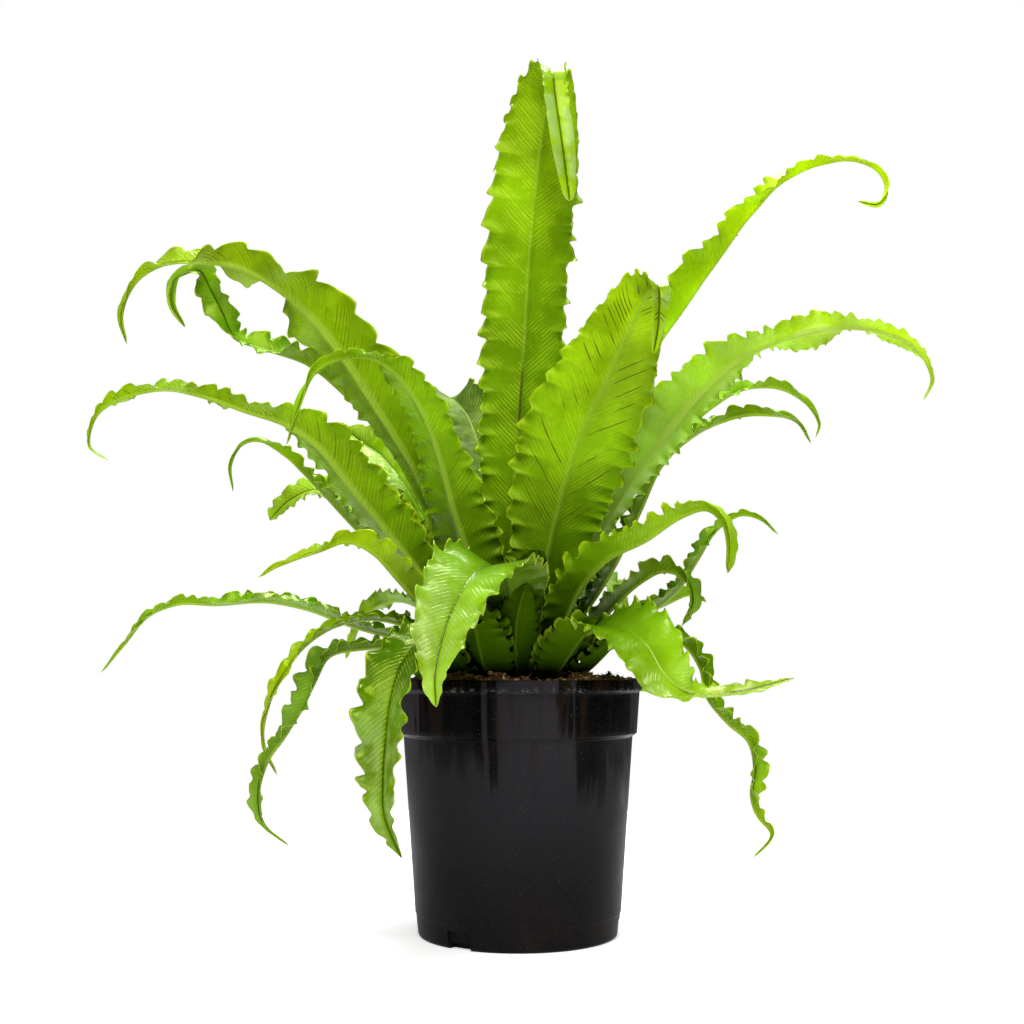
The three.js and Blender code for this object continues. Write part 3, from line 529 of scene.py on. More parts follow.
# Each row's lobes on both margins, for every column: how far the teeth stand, the cups, the curls at
# the edge and their loops. Curls are sines of the place in the lobe, and they wander in strength.
def margins(frond, lobe, along, side, seed):
    count = np.cumsum(np.diff(along, prepend=0) / lobe)
    rows = []
    for half in range(2):
        spots, tooth, cup = lobesAlong(count, seed + half)
        strength = 1 + blade["wander"] * wander(count * 0.8, seed + seeds["wander"] + half)
        phase = 2 * np.pi * spots * frond["curls"]
        rows.append((tooth, cup, np.sin(phase) * strength, np.sin(2 * phase) * strength))
    return (np.stack(pair, axis=1)[:, (side < 0).astype(int)] for pair in zip(*rows))


# One frond as a closed skin. Across the blade, each half rises with the fold and a slight camber.
# Towards the margin it cups with the lobes, by a high power of the way out, with shorter curls right
# at the edge. Where the frond is crisp the margin turns up and its curls run in loops. Past the calm
# share of its length all of that dies away, so the tip is a plain ribbon.
def makeFrond(name, frond, seed):
    place, upper, across, halfWidth, along = midrib(frond)
    base = min(frond["base"], blade["baseLimit"] * max(halfWidth))
    base = base * smoothstep(along, *blade["baseFrom"]) * smoothstep(along, *blade["baseTo"])
    halfWidth = np.maximum(halfWidth, base)
    half = wideColumns if max(halfWidth) > blade["wideFrom"] else narrowColumns
    ring = np.concatenate([half[::-1], -half[1:], -half[-2:0:-1], half[:-1]])
    under = np.concatenate([np.zeros(2 * len(half) - 1), np.ones(2 * len(half) - 3)])
    out, side = np.abs(ring), np.where(ring < 0, -1, 1)

    share = (along / along[-1])[:, None]
    opened = smoothstep(along, blade["stalkEnd"], blade["openAt"])[:, None]
    lobe = 1 + (frond["lobes"] - 1) * smoothstep(share[:, 0], *blade["lobeChange"])
    lobe = (blade["baseLobe"] + blade["lobeGrowth"] * halfWidth) * lobe
    tooth, swell, curl, loop = margins(frond, lobe, along, side, seed)
    spread = knotShape["spread"]
    knots = sum(more * np.exp(-((share - spot) / spread) ** 2) for spot, more in frond["knots"])
    calmEnd = min(frond["calm"] + blade["calmSpan"], blade["calmLimit"])
    lively = opened * smoothstep(share, calmEnd, frond["calm"])
    lively = lively * (1 - knotShape["calmer"] * np.minimum(knots, 1))
    frill = frond["frill"] + knotShape["frill"] * knots
    width = halfWidth[:, None]
    crisp = opened * frond["crisp"] + opened * knotShape["crisp"] * knots
    teeth = 1 - crispness["calmTeeth"] * np.minimum(crisp, 1)

    # how far each point reaches out along the blade, and how far its curl runs ahead
    endwards = np.clip((along[-1] - along) / blade["tipLength"], 0, 1)[:, None]
    width = width * np.sqrt(1 - (1 - endwards) ** 2 * blade["tipPoint"])
    crisp = crisp * np.minimum(1, width / crispness["fullWidth"])
    stand = blade["tooth"] * lobe[:, None] + blade["toothWidth"] * width
    stand = np.minimum(stand, blade["toothLimit"] * width)
    reach = width * out + lively * stand * teeth * (tooth - lobeShape["middle"]) * out ** 4
    reach += crisp * (crispness["curl"] * curl * out ** 10 - crispness["drawIn"] * width * out ** 8)
    ahead = -crispness["loop"] * crisp * loop * out ** 10

    # how far it rises: cups of the lobes, the turned up margin and the frill of curls at the edge
    cup = np.minimum(blade["cupBase"] + blade["cupGrowth"] * np.minimum(width, blade["cupWidest"]),
        blade["cupLimit"] * width)
    rise = blade["cupScale"] * lively * frond["ruffle"] * cup * swell * (0.3 * out ** 2 + 0.7 * out ** 4)
    rise += crisp * crispness["turnUp"] * width * out ** 8
    curlWidth = np.clip(width - blade["curlFrom"], 0, blade["curlSpan"])
    rise += lively * frill * blade["curl"] * curlWidth * curl * out ** 9
    fold = math.radians(frond["fold"]) * opened
    lift = np.sqrt(reach ** 2 + blade["foldSoftness"]) - math.sqrt(blade["foldSoftness"])
    camber = blade["camber"] * width * np.sin(np.pi * out) * opened

    # the skin's own thickness: a round stalk that opens into a thin blade with a rib under it
    small = np.minimum(1, blade["slimRib"] + width / blade["slimWidth"])
    rib = np.exp(-(reach / (blade["ribWidth"] * small)) ** 2) * small
    flat = blade["halfThickness"] * np.sqrt(1 - out ** 8)
    arch = np.sqrt(1 - out ** 2)
    top = blade["stalkAbove"] * arch * (1 - opened) + (flat - blade["groove"] * rib) * opened
    bottom = -blade["stalkBeneath"] * arch * (1 - opened) - (flat + blade["ribDepth"] * rib) * opened
    growth, least = blade["tipSkin"]
    skin = np.where(under > 0, bottom, top) * np.minimum(1, endwards * growth + least)

    sideways = side * (reach * np.cos(fold) - rise * np.sin(fold))
    upwards = lift * np.sin(fold) + camber + rise * np.cos(fold) + skin
    grid = place[:, None] + across[:, None] * sideways[..., None] + upper[:, None] * upwards[..., None]
    grid += np.cross(upper, across)[:, None] * ahead[..., None]
    piece = makeSkin(name + "Leaf", grid)

    # what the material reads: the place in the blade in mm, the way to the edge, and the looks
    shape = sideways.shape
    setAttribute(piece, "leafRib", "FLOAT", np.full(shape, frond["rib"]))
    setAttribute(piece, "leafPaintedSheen", "FLOAT", np.full(shape, frond["paintedSheen"]))
    halfWidth, along = halfWidth[:, None], along[:, None]
    vectors = dict(leafPlace=(along, side * halfWidth * out, share), leafEdge=(out, under, halfWidth),
        leafLook=(frond["tone"], frond["warmth"], frond["sori"]))
    for layer, parts in vectors.items():
        parts = [np.broadcast_to(part, shape) for part in parts]
        setAttribute(piece, layer, "FLOAT_VECTOR", np.stack(parts, axis=-1))
    return piece


leafLooks = dict(
    base=(0.003, 0.026, 0.0002), middle=(0.165, 0.430, 0.0004), tip=(0.285, 0.560, 0.0006),
    yellow=(0.540, 0.660, 0.003), beneath=(0.230, 0.400, 0.004), rib=(0.370, 0.540, 0.050),
    edge=(0.470, 0.640, 0.014), spores=(0.060, 0.026, 0.004), grey=(0.110, 0.220, 0.030),
    # the pale colour of a painted highlight, and the tint of the painted shade deep in the rosette
    paintedSheen=(0.460, 0.640, 0.260), paintedShadeTint=(0.16, 0.3, 0.2), throughTint=(1.0, 0.95, 0.35),
    # veins in mm, which the patches bend, and how sharp they and the lines of spores are
    veinSpacing=3.1, hatchSpacing=1.9, veinSlant=0.95, veinBend=2.2, veinPower=5, sporePower=6,
    growth=0.0036,                  # near the foot, where the dark colour is partly painted shade, the colour goes by this share for each mm
    shadeCentre=(0, 0, 0.15),             # the middle of the painted shade deep in the rosette
    ribHalf=0.9, ribWiden=0.15,     # the pale rib's half width in mm, wider beneath a wide blade
    beneathShare=0.45, veinShare=0.55, sporeShare=1.2, grooveShare=-1.8, tipGroove=0.8, through=0.3,
    # pairs are the factor and the offset of a value
    yellowed=(0.7, 0.2), mottled=(0.5, 0.78), grainy=(0.3, 0.85), hatched=(0.3, 0.88),
    stripes=3.4, stripeBend=6, striped=(0.18, 0.82), ribPale=(0.5, 0.4), raised=(0.8, 0.03),
    hatchHeight=0.3, dentHeight=2, bump=(0.75, 0.0005),
    roughBeneath=0.17, roughPatches=0.25, roughGrey=-0.45,
    clouds=dict(soft=(22, 2), patches=(55, 3, 0.6), grain=(420, 2), specks=(42, 2), dents=(110, 1)),
    # the value that each climb follows, and the ends that it climbs between
    climbs=dict(
        broad=("halfWidth", 5, 15), pastStalk=("along", 45, 150),
        veinPatches=("patches", 0.4, 0.6), insideEdge=("out", 0.98, 0.55),
        grown=("grown", -0.06, 0.58), tipward=("share", 0.45, 1), yellowing=("share", 0.3, 1),
        mottled=("soft", 0.3, 0.7), clearOfPaintedShade=("depth", 0.02, 0.19),
        sporeInside=("out", 0.1, 0.2), sporeOutside=("out", 0.8, 0.6), sporePatches=("specks", 0.42, 0.55),
        sporeStrips=("strip", 0.55, 0.65), sporeShares=("share", 0.25, 0.45), onRib=("ribDistance", 1, 0.5),
        paintedSheenFrom=("share", 0.5, 0.8), paintedSheenOffRib=("distance", 0.8, 3), paintedSheenPatches=("patches", 0.36, 0.6),
        tipGroove=("share", 0.6, 0.78), inGroove=("distance", 1.1, 0.3),
        brownFrom=("share", 0.30, 0.34), brownTo=("share", 0.43, 0.38), brownRib=("distance", 1.3, 0.5),
        atEdge=("out", 0.93, 0.99), edgeFrom=("along", 17, 60),
    ),
)
leafFinishes = dict(
    plain=dict(name="glossyFernLeaf", roughness=0.22, specular=0.42, tint=(0.85, 1, 0.1, 1),
        veins=1, edge=0.75),
    wet=dict(name="shiningFernLeaf", roughness=0.30, specular=0.7, tint=(1, 1, 0.55, 1),
        veins=0.35, edge=0.75),
    # a copy for leaves deep in the rosette: painted shade, with dimmer veins and edges and almost no
    # reflection
    shaded=dict(name="shadedFernLeaf", roughness=0.36, specular=0.02, tint=(0.6, 1, 0.2, 1),
        veins=0.3, edge=0.25),
)


# Green from dark to pale along the blade, with veins, spores, rib, a pale painted highlight and edge laid
# over it, a gloss that varies in patches, and some light let through.
def makeLeafMaterial(finish):
    looks = leafLooks
    material, tree, shader = newMaterial(finish["name"])
    vectors = (readAttribute(tree, name, "Vector") for name in ("leafPlace", "leafEdge", "leafLook"))
    (along, across, share), (out, under, halfWidth), (tone, warmth, spores) = map(splitVector, vectors)
    ribStrength, paintedSheenStrength = readAttribute(tree, "leafRib"), readAttribute(tree, "leafPaintedSheen")
    distance = sums("ABSOLUTE", across)
    above = sums("SUBTRACT", 1, under)
    values = dict(along=along, share=share, out=out, halfWidth=halfWidth, distance=distance)
    climbs = climbsOf(tree, looks, values)
    soft, patches = values["soft"], values["patches"]

    # veins leave the rib at a slant: lines of along less a share of the distance, bent a little
    slant = scaled(distance, -looks["veinSlant"], along)
    slant = scaled(patches, looks["veinBend"], slant)
    wave, fineWave = (sums("SINE", times(slant, 2 * math.pi / looks[name]))
        for name in ("veinSpacing", "hatchSpacing"))
    vein = sums("POWER", scaled(wave, 0.5, 0.5), looks["veinPower"])
    hatch = scaled(fineWave, 0.5, 0.5)
    veined = times(climbs("veinPatches", "insideEdge", "broad", "pastStalk"), finish["veins"])

    # from the dark foot, partly the leaf's own colour and partly painted shade in the rosette, to the pale
    # tip, duller beneath, and yellower or greyer by the warmth
    values["grown"] = sums("MINIMUM", share, times(along, looks["growth"]))
    yellowing = times(warmth, scaled(climbs("yellowing"), *looks["yellowed"]), clamp=True)
    colour = paint(looks, looks["base"], (climbs("grown"), "middle"), (climbs("tipward"), "tip"),
        (times(under, looks["beneathShare"]), "beneath"), (yellowing, "yellow"),
        (times(warmth, -1, clamp=True), "grey"))

    # painted shade: deep in the rosette the colour is darkened, more in red than in green
    inputs = {0: objectPlace(tree), 1: looks["shadeCentre"]}
    values["depth"] = addNode(tree, "ShaderNodeVectorMath", inputs, operation="DISTANCE").outputs["Value"]
    paintedShadeColour = blendColours(1, colour, looks["paintedShadeTint"], "MULTIPLY")
    colour = blendColours(climbs("clearOfPaintedShade"), paintedShadeColour, colour)
    shade = times(tone, scaled(climbs("mottled"), *looks["mottled"]),
        scaled(values["grain"], *looks["grainy"]), scaled(times(hatch, veined), *looks["hatched"]))
    colour = blendColours(1, colour, shade, "MULTIPLY")

    # brown lines of spores lie on the veins, from near the rib to halfway out, in patches
    line = sums("POWER", scaled(wave, -0.5, 0.5), looks["sporePower"])
    strip = sums("FLOOR", sums("DIVIDE", slant, looks["veinSpacing"]))
    strip = addNode(tree, "ShaderNodeTexWhiteNoise", {"W": strip}, noise_dimensions="1D")
    values["strip"] = strip.outputs["Value"]
    brown = times(line, sums("MAXIMUM", spores, 0),
        climbs("sporeInside", "sporeOutside", "sporePatches", "sporeStrips", "sporeShares"))

    # the rib is pale and broad beneath, and a thin line above, or a dark groove of painted shade where its
    # strength is below nothing and towards the tip. Spores below nothing mean a browned rib.
    ribReach = times(under, ribStrength, halfWidth, looks["ribWiden"])
    values["ribDistance"] = sums("DIVIDE", distance, sums("ADD", ribReach, looks["ribHalf"]))
    stripes = sums("SINE", scaled(distance, looks["stripes"], times(soft, looks["stripeBend"])))
    ribShare = times(climbs("onRib"), scaled(stripes, *looks["striped"]), ribStrength,
        scaled(under, *looks["ribPale"]))
    groove = sums("MAXIMUM", times(ribStrength, looks["grooveShare"], clamp=True),
        times(above, climbs("tipGroove"), looks["tipGroove"]))
    # painted highlight: a whitish sheen laid into the colour on the upper side towards the tip, off the rib,
    # in patches
    paintedSheen = times(above, climbs("paintedSheenFrom", "paintedSheenOffRib", "paintedSheenPatches"), paintedSheenStrength)
    browned = times(climbs("brownFrom", "brownTo", "brownRib"), times(spores, -1, clamp=True))
    colour = paint(looks, colour, (times(vein, veined, looks["veinShare"]), "edge"),
        (times(brown, looks["sporeShare"], clamp=True), "spores"),
        (sums("MAXIMUM", ribShare, 0), "rib"), (paintedSheen, "paintedSheen"),
        (times(climbs("inGroove"), groove), "base"), (browned, "spores"),
        (times(climbs("atEdge", "edgeFrom"), finish["edge"]), "edge"))

    rough = scaled(under, looks["roughBeneath"], finish["roughness"])
    rough = scaled(sums("SUBTRACT", patches, 0.5), looks["roughPatches"], rough)
    rough = scaled(sums("MINIMUM", warmth, 0), looks["roughGrey"], rough)
    height = scaled(hatch, looks["hatchHeight"], vein)
    height = times(height, scaled(veined, *looks["raised"]), climbs("broad"))
    height = scaled(values["dents"], looks["dentHeight"], height)
    bump = wireShader(shader, colour, rough, finish["specular"], height, *looks["bump"])
    shader.inputs["Specular Tint"].default_value = finish["tint"]

    glow = blendColours(1, colour, looks["throughTint"], "MULTIPLY")
    through = addNode(tree, "ShaderNodeBsdfTranslucent", {"Color": glow, "Normal": bump}).outputs[0]
    mixed = addNode(tree, "ShaderNodeMixShader", {0: looks["through"], 1: shader.outputs[0], 2: through})
    tree.links.new(mixed.outputs[0], tree.nodes["Material Output"].inputs["Surface"])
    return material


leafMaterials = {key: makeLeafMaterial(finish) for key, finish in leafFinishes.items()}
first, step = seeds["fronds"]
for number, (name, frond) in enumerate(fronds.items()):
    frond = {**plainFrond, **frond}
    settle(makeFrond(name, frond, first + step * number), leafMaterials[frond["finish"]], "frond", name)
print("fronds:", len(fronds))

# Short leaves round the foot, which close the rosette over the crown, mostly dark with low tones and the
# shaded
# finish as painted shade: the angle of the hole on the outer ring, tone, warmth and spine.
shortFrond = dict(ruffle=0.25, fold=18, frill=1.4, lobes=0.66, calm=1, twist=0, rib=0.12, crisp=1,
    curls=1, rowStep=0.7, finish="shaded")
footLeaves = [
    (270, 0.38, 0, [(0, -50, 168, 13), (-1, -63, 173, 17), (-2, -74, 185, 18), (-1, -80, 201, 16),
        (2, -84, 215, 11), (5, -86, 223, 3)]),
    (248, 0.42, 0, [(-15, -50, 168, 13), (-20, -66, 172, 20), (-23, -78, 184, 21), (-26, -85, 198, 18),
        (-27, -88, 208, 10), (-27, -89, 213, 2)]),
    (300, 0.36, 0, [(20, -50, 168, 13), (25, -66, 172, 18), (31, -80, 182, 20), (38, -88, 192, 19),
        (45, -92, 200, 11), (48, -93, 203, 2)]),
    (312, 0.38, 0, [(33, -41, 170, 11), (42, -48, 171, 14), (52, -54, 180, 14), (60, -59, 189, 9),
        (64, -62, 193, 2)]),
    (226, 0.45, 0, [(-32, -42, 167, 14), (-39, -49, 169, 18), (-47, -54, 179, 19), (-53, -58, 192, 13),
        (-56, -60, 200, 2)]),
    (215, 0.5, 0, [(-38, -30, 170, 9), (-50, -36, 172, 13, -50), (-62, -40, 175, 14, -62),
        (-73, -44, 178, 9, -62), (-80, -46, 180, 2, -60)]),
    (240, 1, 0.5, [(-25, -56, 178, 5), (-30, -62, 186, 5), (-33, -64, 191, 1.5)]),
    (230, 1, 0.4, [(-34, -54, 177, 4), (-40, -60, 184, 4), (-44, -63, 188, 1.5)]),
    (182, 0.5, 0, [(-52, -4, 184, 12), (-70, -6, 199, 13), (-84, -8, 206, 2)]),
    (2, 0.5, 0, [(52, 2, 184, 12), (70, 3, 199, 13), (84, 4, 206, 2)]),
    (40, 0.5, 0, [(40, 34, 184, 13), (54, 46, 200, 14), (65, 54, 208, 2)]),
    (75, 0.5, 0, [(14, 50, 184, 13), (20, 68, 200, 14), (23, 80, 208, 2)]),
    (120, 0.5, 0, [(-26, 45, 184, 13), (-36, 62, 200, 14), (-42, 72, 208, 2)]),
    (150, 0.5, 0, [(-44, 27, 184, 13), (-60, 38, 200, 14), (-70, 44, 208, 2)]),
]
first, step = seeds["footLeaves"]
for number, (angle, tone, warmth, spine) in enumerate(footLeaves):
    leaf = {**plainFrond, **shortFrond, "hole": (35, angle), "tone": tone, "warmth": warmth, "spine": spine}
    piece = makeFrond(f"foot_{number + 1:02d}", leaf, first + step * number)
    settle(piece, leafMaterials[leaf["finish"]], "frond", "crown")
print("foot leaves:", len(footLeaves))


# Pot

pot = dict(
    outside=[(58, 0), (63.5, 0), (65, 1.5), (66.1, 11), (66.4, 14), (67, 15.6), (75.5, 128), (78.3, 129.6),
        (80.4, 156.8), (84.3, 157.3), (85, 158.6), (85, 164), (84.2, 165), (79.4, 165)],
    inside=[(78.6, 157), (76.5, 130.4), (73.7, 128), (65.2, 16), (64.6, 14), (64.3, 11), (64, 3.5),
        (58, 3.5)],
    sides=240, rounding=0.8, splitOver=12, splits=8, sharpAngle=38,
    notches=3, firstNotch=236, notchColumns=10, notchTops=[(66.1, 11), (64.3, 11)],
)
potLooks = dict(
    bare=(0.0012, 0.001, 0.001), lowDust=(0.0048, 0.0043, 0.0046), highDust=(0.0160, 0.0147, 0.0172),
    brown=(0.013, 0.0065, 0.003), scuff=(0.09, 0.088, 0.086), earth=(0.016, 0.012, 0.009),
    speck=(0.055, 0.05, 0.047), brownShare=0.7, scuffShare=0.7, earthShare=0.5, speckShare=0.6,
    specular=0.035, filmRough=(0.2, 0.14), dustRough=0.2, bump=(0.12, 0.0002), streaky=0.35,
    clouds=dict(dust=(34, 4, 0.6), specks=(1100, 1), streak=(95, 3, 0.6), broad=(26, 2),
        scuffs=(300, 3, 0.7), grain=(900, 2)),
    upright=dict(streak=0.07, broad=0.22),
    climbs=dict(
        wetRuns=("runs", 0.78, 0.85), upperWall=("height", 0.085, 0.135), dustUp=("height", 0, 0.14),
        streaks=("streak", 0.48, 0.66), brownUp=("height", 0.095, 0.15), lowWall=("height", 0.05, 0),
        fromRim=("height", 0.1562, 0.1575), toRim=("height", 0.1615, 0.1585), scuffs=("scuffs", 0.5, 0.68),
        dust=("dust", 0.4, 0.7), specks=("specks", 0.66, 0.8),
    ),
    # bands where water ran down, in metres: from and to across x, and the height where each ends
    bands=((-0.061, -0.023, 0.150), (-0.020, -0.014, 0.137), (0.036, 0.073, 0.152), (0.036, 0.056, 0.125),
        (0.061, 0.069, 0.122)),
    bandEdge=0.001, bandFoot=(-0.008, 0.012), ragged=0.07, shifted=0.012,
)


# A profile of radius and height with its corners rounded: each corner becomes a short parabola.
def roundedProfile(corners, rounding):
    corners = np.array(corners, float)
    points = [corners[:1]]
    for before, corner, after in zip(corners, corners[1:], corners[2:]):
        back, ahead = before - corner, after - corner
        sizes = np.linalg.norm(back), np.linalg.norm(ahead)
        cut = min(rounding, 0.45 * min(sizes))
        first, last = corner + back / sizes[0] * cut, corner + ahead / sizes[1] * cut
        part = np.linspace(0, 1, 5)[:, None]
        points.append((1 - part) ** 2 * first + 2 * part * (1 - part) * corner + part ** 2 * last)
    return np.vstack([*points, corners[-1:]])


# The pot: its section turned about the axis as rings of points, with the notches left open at the
# foot and lined with faces between the outer and the inner wall.
def makePot():
    profile = roundedProfile([*pot["outside"], *pot["inside"]], pot["rounding"])
    long = np.linalg.norm(np.diff(profile, axis=0), axis=1) > pot["splitOver"]
    splits = [np.linspace(0, 1, pot["splits"] + 1 if wide else 2)[:-1, None] for wide in long]
    lines = [a + (b - a) * part for a, b, part in zip(profile, profile[1:], splits)]
    profile = np.vstack([*lines, profile[-1:]])
    outerTop, innerTop = (int(np.argmin(np.hypot(*(profile - top).T))) for top in pot["notchTops"])

    rows, sides = len(profile), pot["sides"]
    points = ringPoints(profile[:, :1], profile[:, 1:], sides).reshape(-1, 3)
    corner = np.arange(rows * sides).reshape(rows, sides)
    faces = ringFaces(rows, sides).reshape(rows - 1, sides, 4)
    keep = np.ones((rows - 1, sides), bool)
    caps = []
    for notch in range(pot["notches"]):
        middle = (pot["firstNotch"] + notch * 360 / pot["notches"]) / 360 * sides
        start = int(round(middle - pot["notchColumns"] / 2))
        columns = np.arange(start, start + pot["notchColumns"] + 1) % sides
        keep[:outerTop, columns[:-1]] = keep[innerTop:, columns[:-1]] = False
        for column, turn in ((columns[0], 1), (columns[-1], -1)):
            loop = np.concatenate([corner[:outerTop + 1, column], corner[innerTop:, column]])
            caps.append(loop[::turn])
        for low, high in ((outerTop, innerTop), (rows - 1, 0)):
            near, far = corner[low, columns], corner[high, columns]
            caps += list(np.stack([near[:-1], far[:-1], far[1:], near[1:]], axis=-1))
    caps += [corner[0], corner[-1]]
    piece = makePiece("nurseryPot", points * mm, faces[keep], caps)
    shell = bmesh.new()
    shell.from_mesh(piece.data)
    bmesh.ops.recalc_face_normals(shell, faces=shell.faces)
    shell.to_mesh(piece.data)
    shell.free()
    piece.data.shade_smooth()
    piece.data.set_sharp_from_angle(angle=math.radians(pot["sharpAngle"]))
    return piece


# Black plastic under a film of dust: the film is off where clean runs and washed bands are.
def makePotMaterial():
    looks = potLooks
    material, tree, shader = newMaterial("blackPotPlastic")
    across, _, height = splitVector(objectPlace(tree))
    values = dict(height=height)
    climbs = climbsOf(tree, looks, values)
    streak, broad = values["streak"], values["broad"]
    values["runs"] = scaled(streak, looks["streaky"], broad)
    clean = climbs("wetRuns", "upperWall")
    ragged = scaled(streak, looks["ragged"], height)
    shifted = scaled(sums("SUBTRACT", broad, 0.5), looks["shifted"], across)
    edge, (below, over) = looks["bandEdge"], looks["bandFoot"]
    for low, high, end in looks["bands"]:
        band = times(climb(shifted, low - edge, low + edge),
            climb(shifted, high + edge, high - edge), climb(ragged, end + below, end + over))
        clean = sums("MAXIMUM", clean, band)
    film = sums("SUBTRACT", 1, clean)
    dusty = paint(looks, looks["lowDust"], (climbs("dustUp"), "highDust"))
    colour = paint(looks, blendColours(film, looks["bare"], dusty),
        (times(climbs("streaks", "brownUp"), looks["brownShare"]), "brown"),
        (times(climbs("fromRim", "toRim", "scuffs"), looks["scuffShare"]), "scuff"),
        (times(climbs("lowWall", "dust"), looks["earthShare"]), "earth"),
        (times(climbs("specks"), looks["speckShare"]), "speck"))
    rough = scaled(values["dust"], looks["dustRough"], scaled(film, *looks["filmRough"]))
    wireShader(shader, colour, rough, looks["specular"], values["grain"], *looks["bump"])
    return material


settle(makePot(), makePotMaterial(), "pot", "pot")
print("pot made")


# Soil

soil = dict(
    level=162, mound=5, moundRadius=52, radius=77.9, hub=0.5, rings=60, sides=160, clump=1.6,
    wall=[(77.9, 157), (76.1, 130.4), (73.3, 128.4), (64.8, 16.5), (64.2, 14), (63.6, 3.9)],
    piles=[(42, -58, 6, 11), (-36, -62, 6, 13), (-12, -69, 4, 11), (60, -42, 4, 12), (-58, -40, 3, 12)],
    crumbs=dict(count=3400, reach=76.5, clear=0.08, sizes=[1.1, 1.7, 2.6], shares=[0.55, 0.33, 0.12],
        stretch=([0.8, 0.6, 0.35], [1.6, 1.1, 0.8])),
    fibres=dict(count=420, reach=74, clear=0.1, lift=1.1, stretch=([2.5, 0.16, 0.14], [5.5, 0.4, 0.3])),
)
soilLooks = dict(
    dark=(0.03, 0.014, 0.006), brown=(0.30, 0.15, 0.06), pale=(0.75, 0.50, 0.27),
    # below is painted shade: the soil turns black far down inside the pot
    below=(0.0004, 0.0003, 0.0002), specular=0.15, rough=(0.3, 0.68), bump=(0.6, 0.0005), grainShare=0.7,
    clouds=dict(grain=(700, 3, 0.65)),
    climbs=dict(brown=("mixed", 0, 0.6), pale=("mixed", 0.6, 1), below=("height", 0.14, 0.05)),
)


# Crumbs of bark: crossed ripples, with piles that fall off as bells.
def soilHeight(x, y):
    coarse = np.sin(0.19 * x + 0.6) * np.sin(0.23 * y + 1.1)
    fine = np.sin(0.41 * x - 0.33 * y + 2) * np.sin(0.37 * x + 0.47 * y)
    rough = np.sin(1.3 * x + 0.7 * y) * np.sin(1.1 * y - 0.5 * x + 1)
    height = soil["level"] + soil["clump"] * (0.3 + coarse + 0.8 * fine + 0.35 * rough)
    height = height + soil["mound"] * np.exp(-((x * x + y * y) / soil["moundRadius"] ** 2) ** 2)
    for pileX, pileY, rise, spread in soil["piles"]:
        height = height + rise * np.exp(-((x - pileX) ** 2 + (y - pileY) ** 2) / spread ** 2)
    return height


# The twelve corners of an icosahedron and its twenty faces, as one crumb.
def crumbShape():
    golden = (1 + 5 ** 0.5) / 2
    points = [(x, y * golden, 0) for x in (-1, 1) for y in (-1, 1)]
    points = np.array(points + [(0, x, y) for x, y, _ in points] + [(y, 0, x) for x, y, _ in points], float)
    near = np.linalg.norm(points[:, None] - points[None], axis=-1) < 2.1
    corners = [(a, b, c) for a in range(12) for b in range(a + 1, 12) for c in range(b + 1, 12)]
    faces = np.array([(a, b, c) for a, b, c in corners if near[a, b] and near[b, c] and near[a, c]])
    first, second, third = (points[faces[:, k]] for k in range(3))
    inward = (np.cross(second - first, third - first) * first).sum(1) < 0
    faces[inward] = faces[inward][:, ::-1]
    return points / np.linalg.norm(points[0]), faces


# Faces of many like pieces whose points follow each other.
def repeatFaces(faces, corners, count):
    return (faces[None] + corners * np.arange(count)[:, None, None]).reshape(-1, 3)


# Many crumbs at once: each is stretched along its own axes, knocked out of shape and turned.
def scatterCrumbs(places, stretch, random):
    base, faces = crumbShape()
    count = len(places)
    points = base[None] * stretch[:, None] * random.uniform(0.7, 1.25, (count, 12, 1))
    turn, tilt = random.uniform(0, 2 * np.pi, count), random.normal(0, 0.5, count)[:, None]
    flat, side = outAndRound(turn)
    up = np.array([[0, 0, 1]])
    first = flat * np.cos(tilt) + up * np.sin(tilt)
    third = up * np.cos(tilt) - flat * np.sin(tilt)
    axes = first[:, None], side[:, None], third[:, None]
    turned = sum(points[..., k:k + 1] * axis for k, axis in enumerate(axes))
    return (turned + places[:, None]).reshape(-1, 3), repeatFaces(faces, 12, count)


# Places spread evenly over the soil.
def spreadOver(shape, random):
    far = shape["reach"] * np.sqrt(random.uniform(shape["clear"], 1, shape["count"]))
    turn = random.uniform(0, 2 * np.pi, shape["count"])
    return far * np.cos(turn), far * np.sin(turn)


def makeSoil():
    random = np.random.default_rng(seeds["soil"])
    rings, wall = soil["rings"], np.array(soil["wall"])
    radius = np.concatenate([np.linspace(soil["hub"], soil["radius"], rings), wall[:, 0], [soil["hub"]]])
    ground = ringPoints(radius[:, None], 0, soil["sides"])
    ground[..., 2] = soilHeight(ground[..., 0], ground[..., 1])
    ground[rings:, :, 2] = [[height] for height in (*wall[:, 1], wall[-1, 1])]
    body = makeSkin("soilBed", ground)
    setAttribute(body, "crumbShade", "FLOAT", np.full(len(body.data.vertices), 0.25))

    shape = soil["crumbs"]
    x, y = spreadOver(shape, random)
    size = random.uniform(0.6, 1, shape["count"]) ** 2
    size = size * random.choice(shape["sizes"], shape["count"], p=shape["shares"])
    stretch = size[:, None] * random.uniform(*shape["stretch"], (shape["count"], 3))
    places = np.stack([x, y, soilHeight(x, y) + size * random.uniform(0, 0.6, shape["count"])], axis=-1)
    crumbs, crumbFaces = scatterCrumbs(places, stretch, random)
    shape = soil["fibres"]
    x, y = spreadOver(shape, random)
    places = np.stack([x, y, soilHeight(x, y) + shape["lift"]], axis=-1)
    stretch = random.uniform(*shape["stretch"], (shape["count"], 3))
    fibres, fibreFaces = scatterCrumbs(places, stretch, random)
    points = np.vstack([crumbs, fibres])
    piece = makePiece("soilCrumbs", points * mm, np.vstack([crumbFaces, fibreFaces + len(crumbs)]))
    piece.data.shade_flat()
    shades = random.uniform(0, 1, len(points) // 12)
    setAttribute(piece, "crumbShade", "FLOAT", np.repeat(shades, 12))
    return body, piece
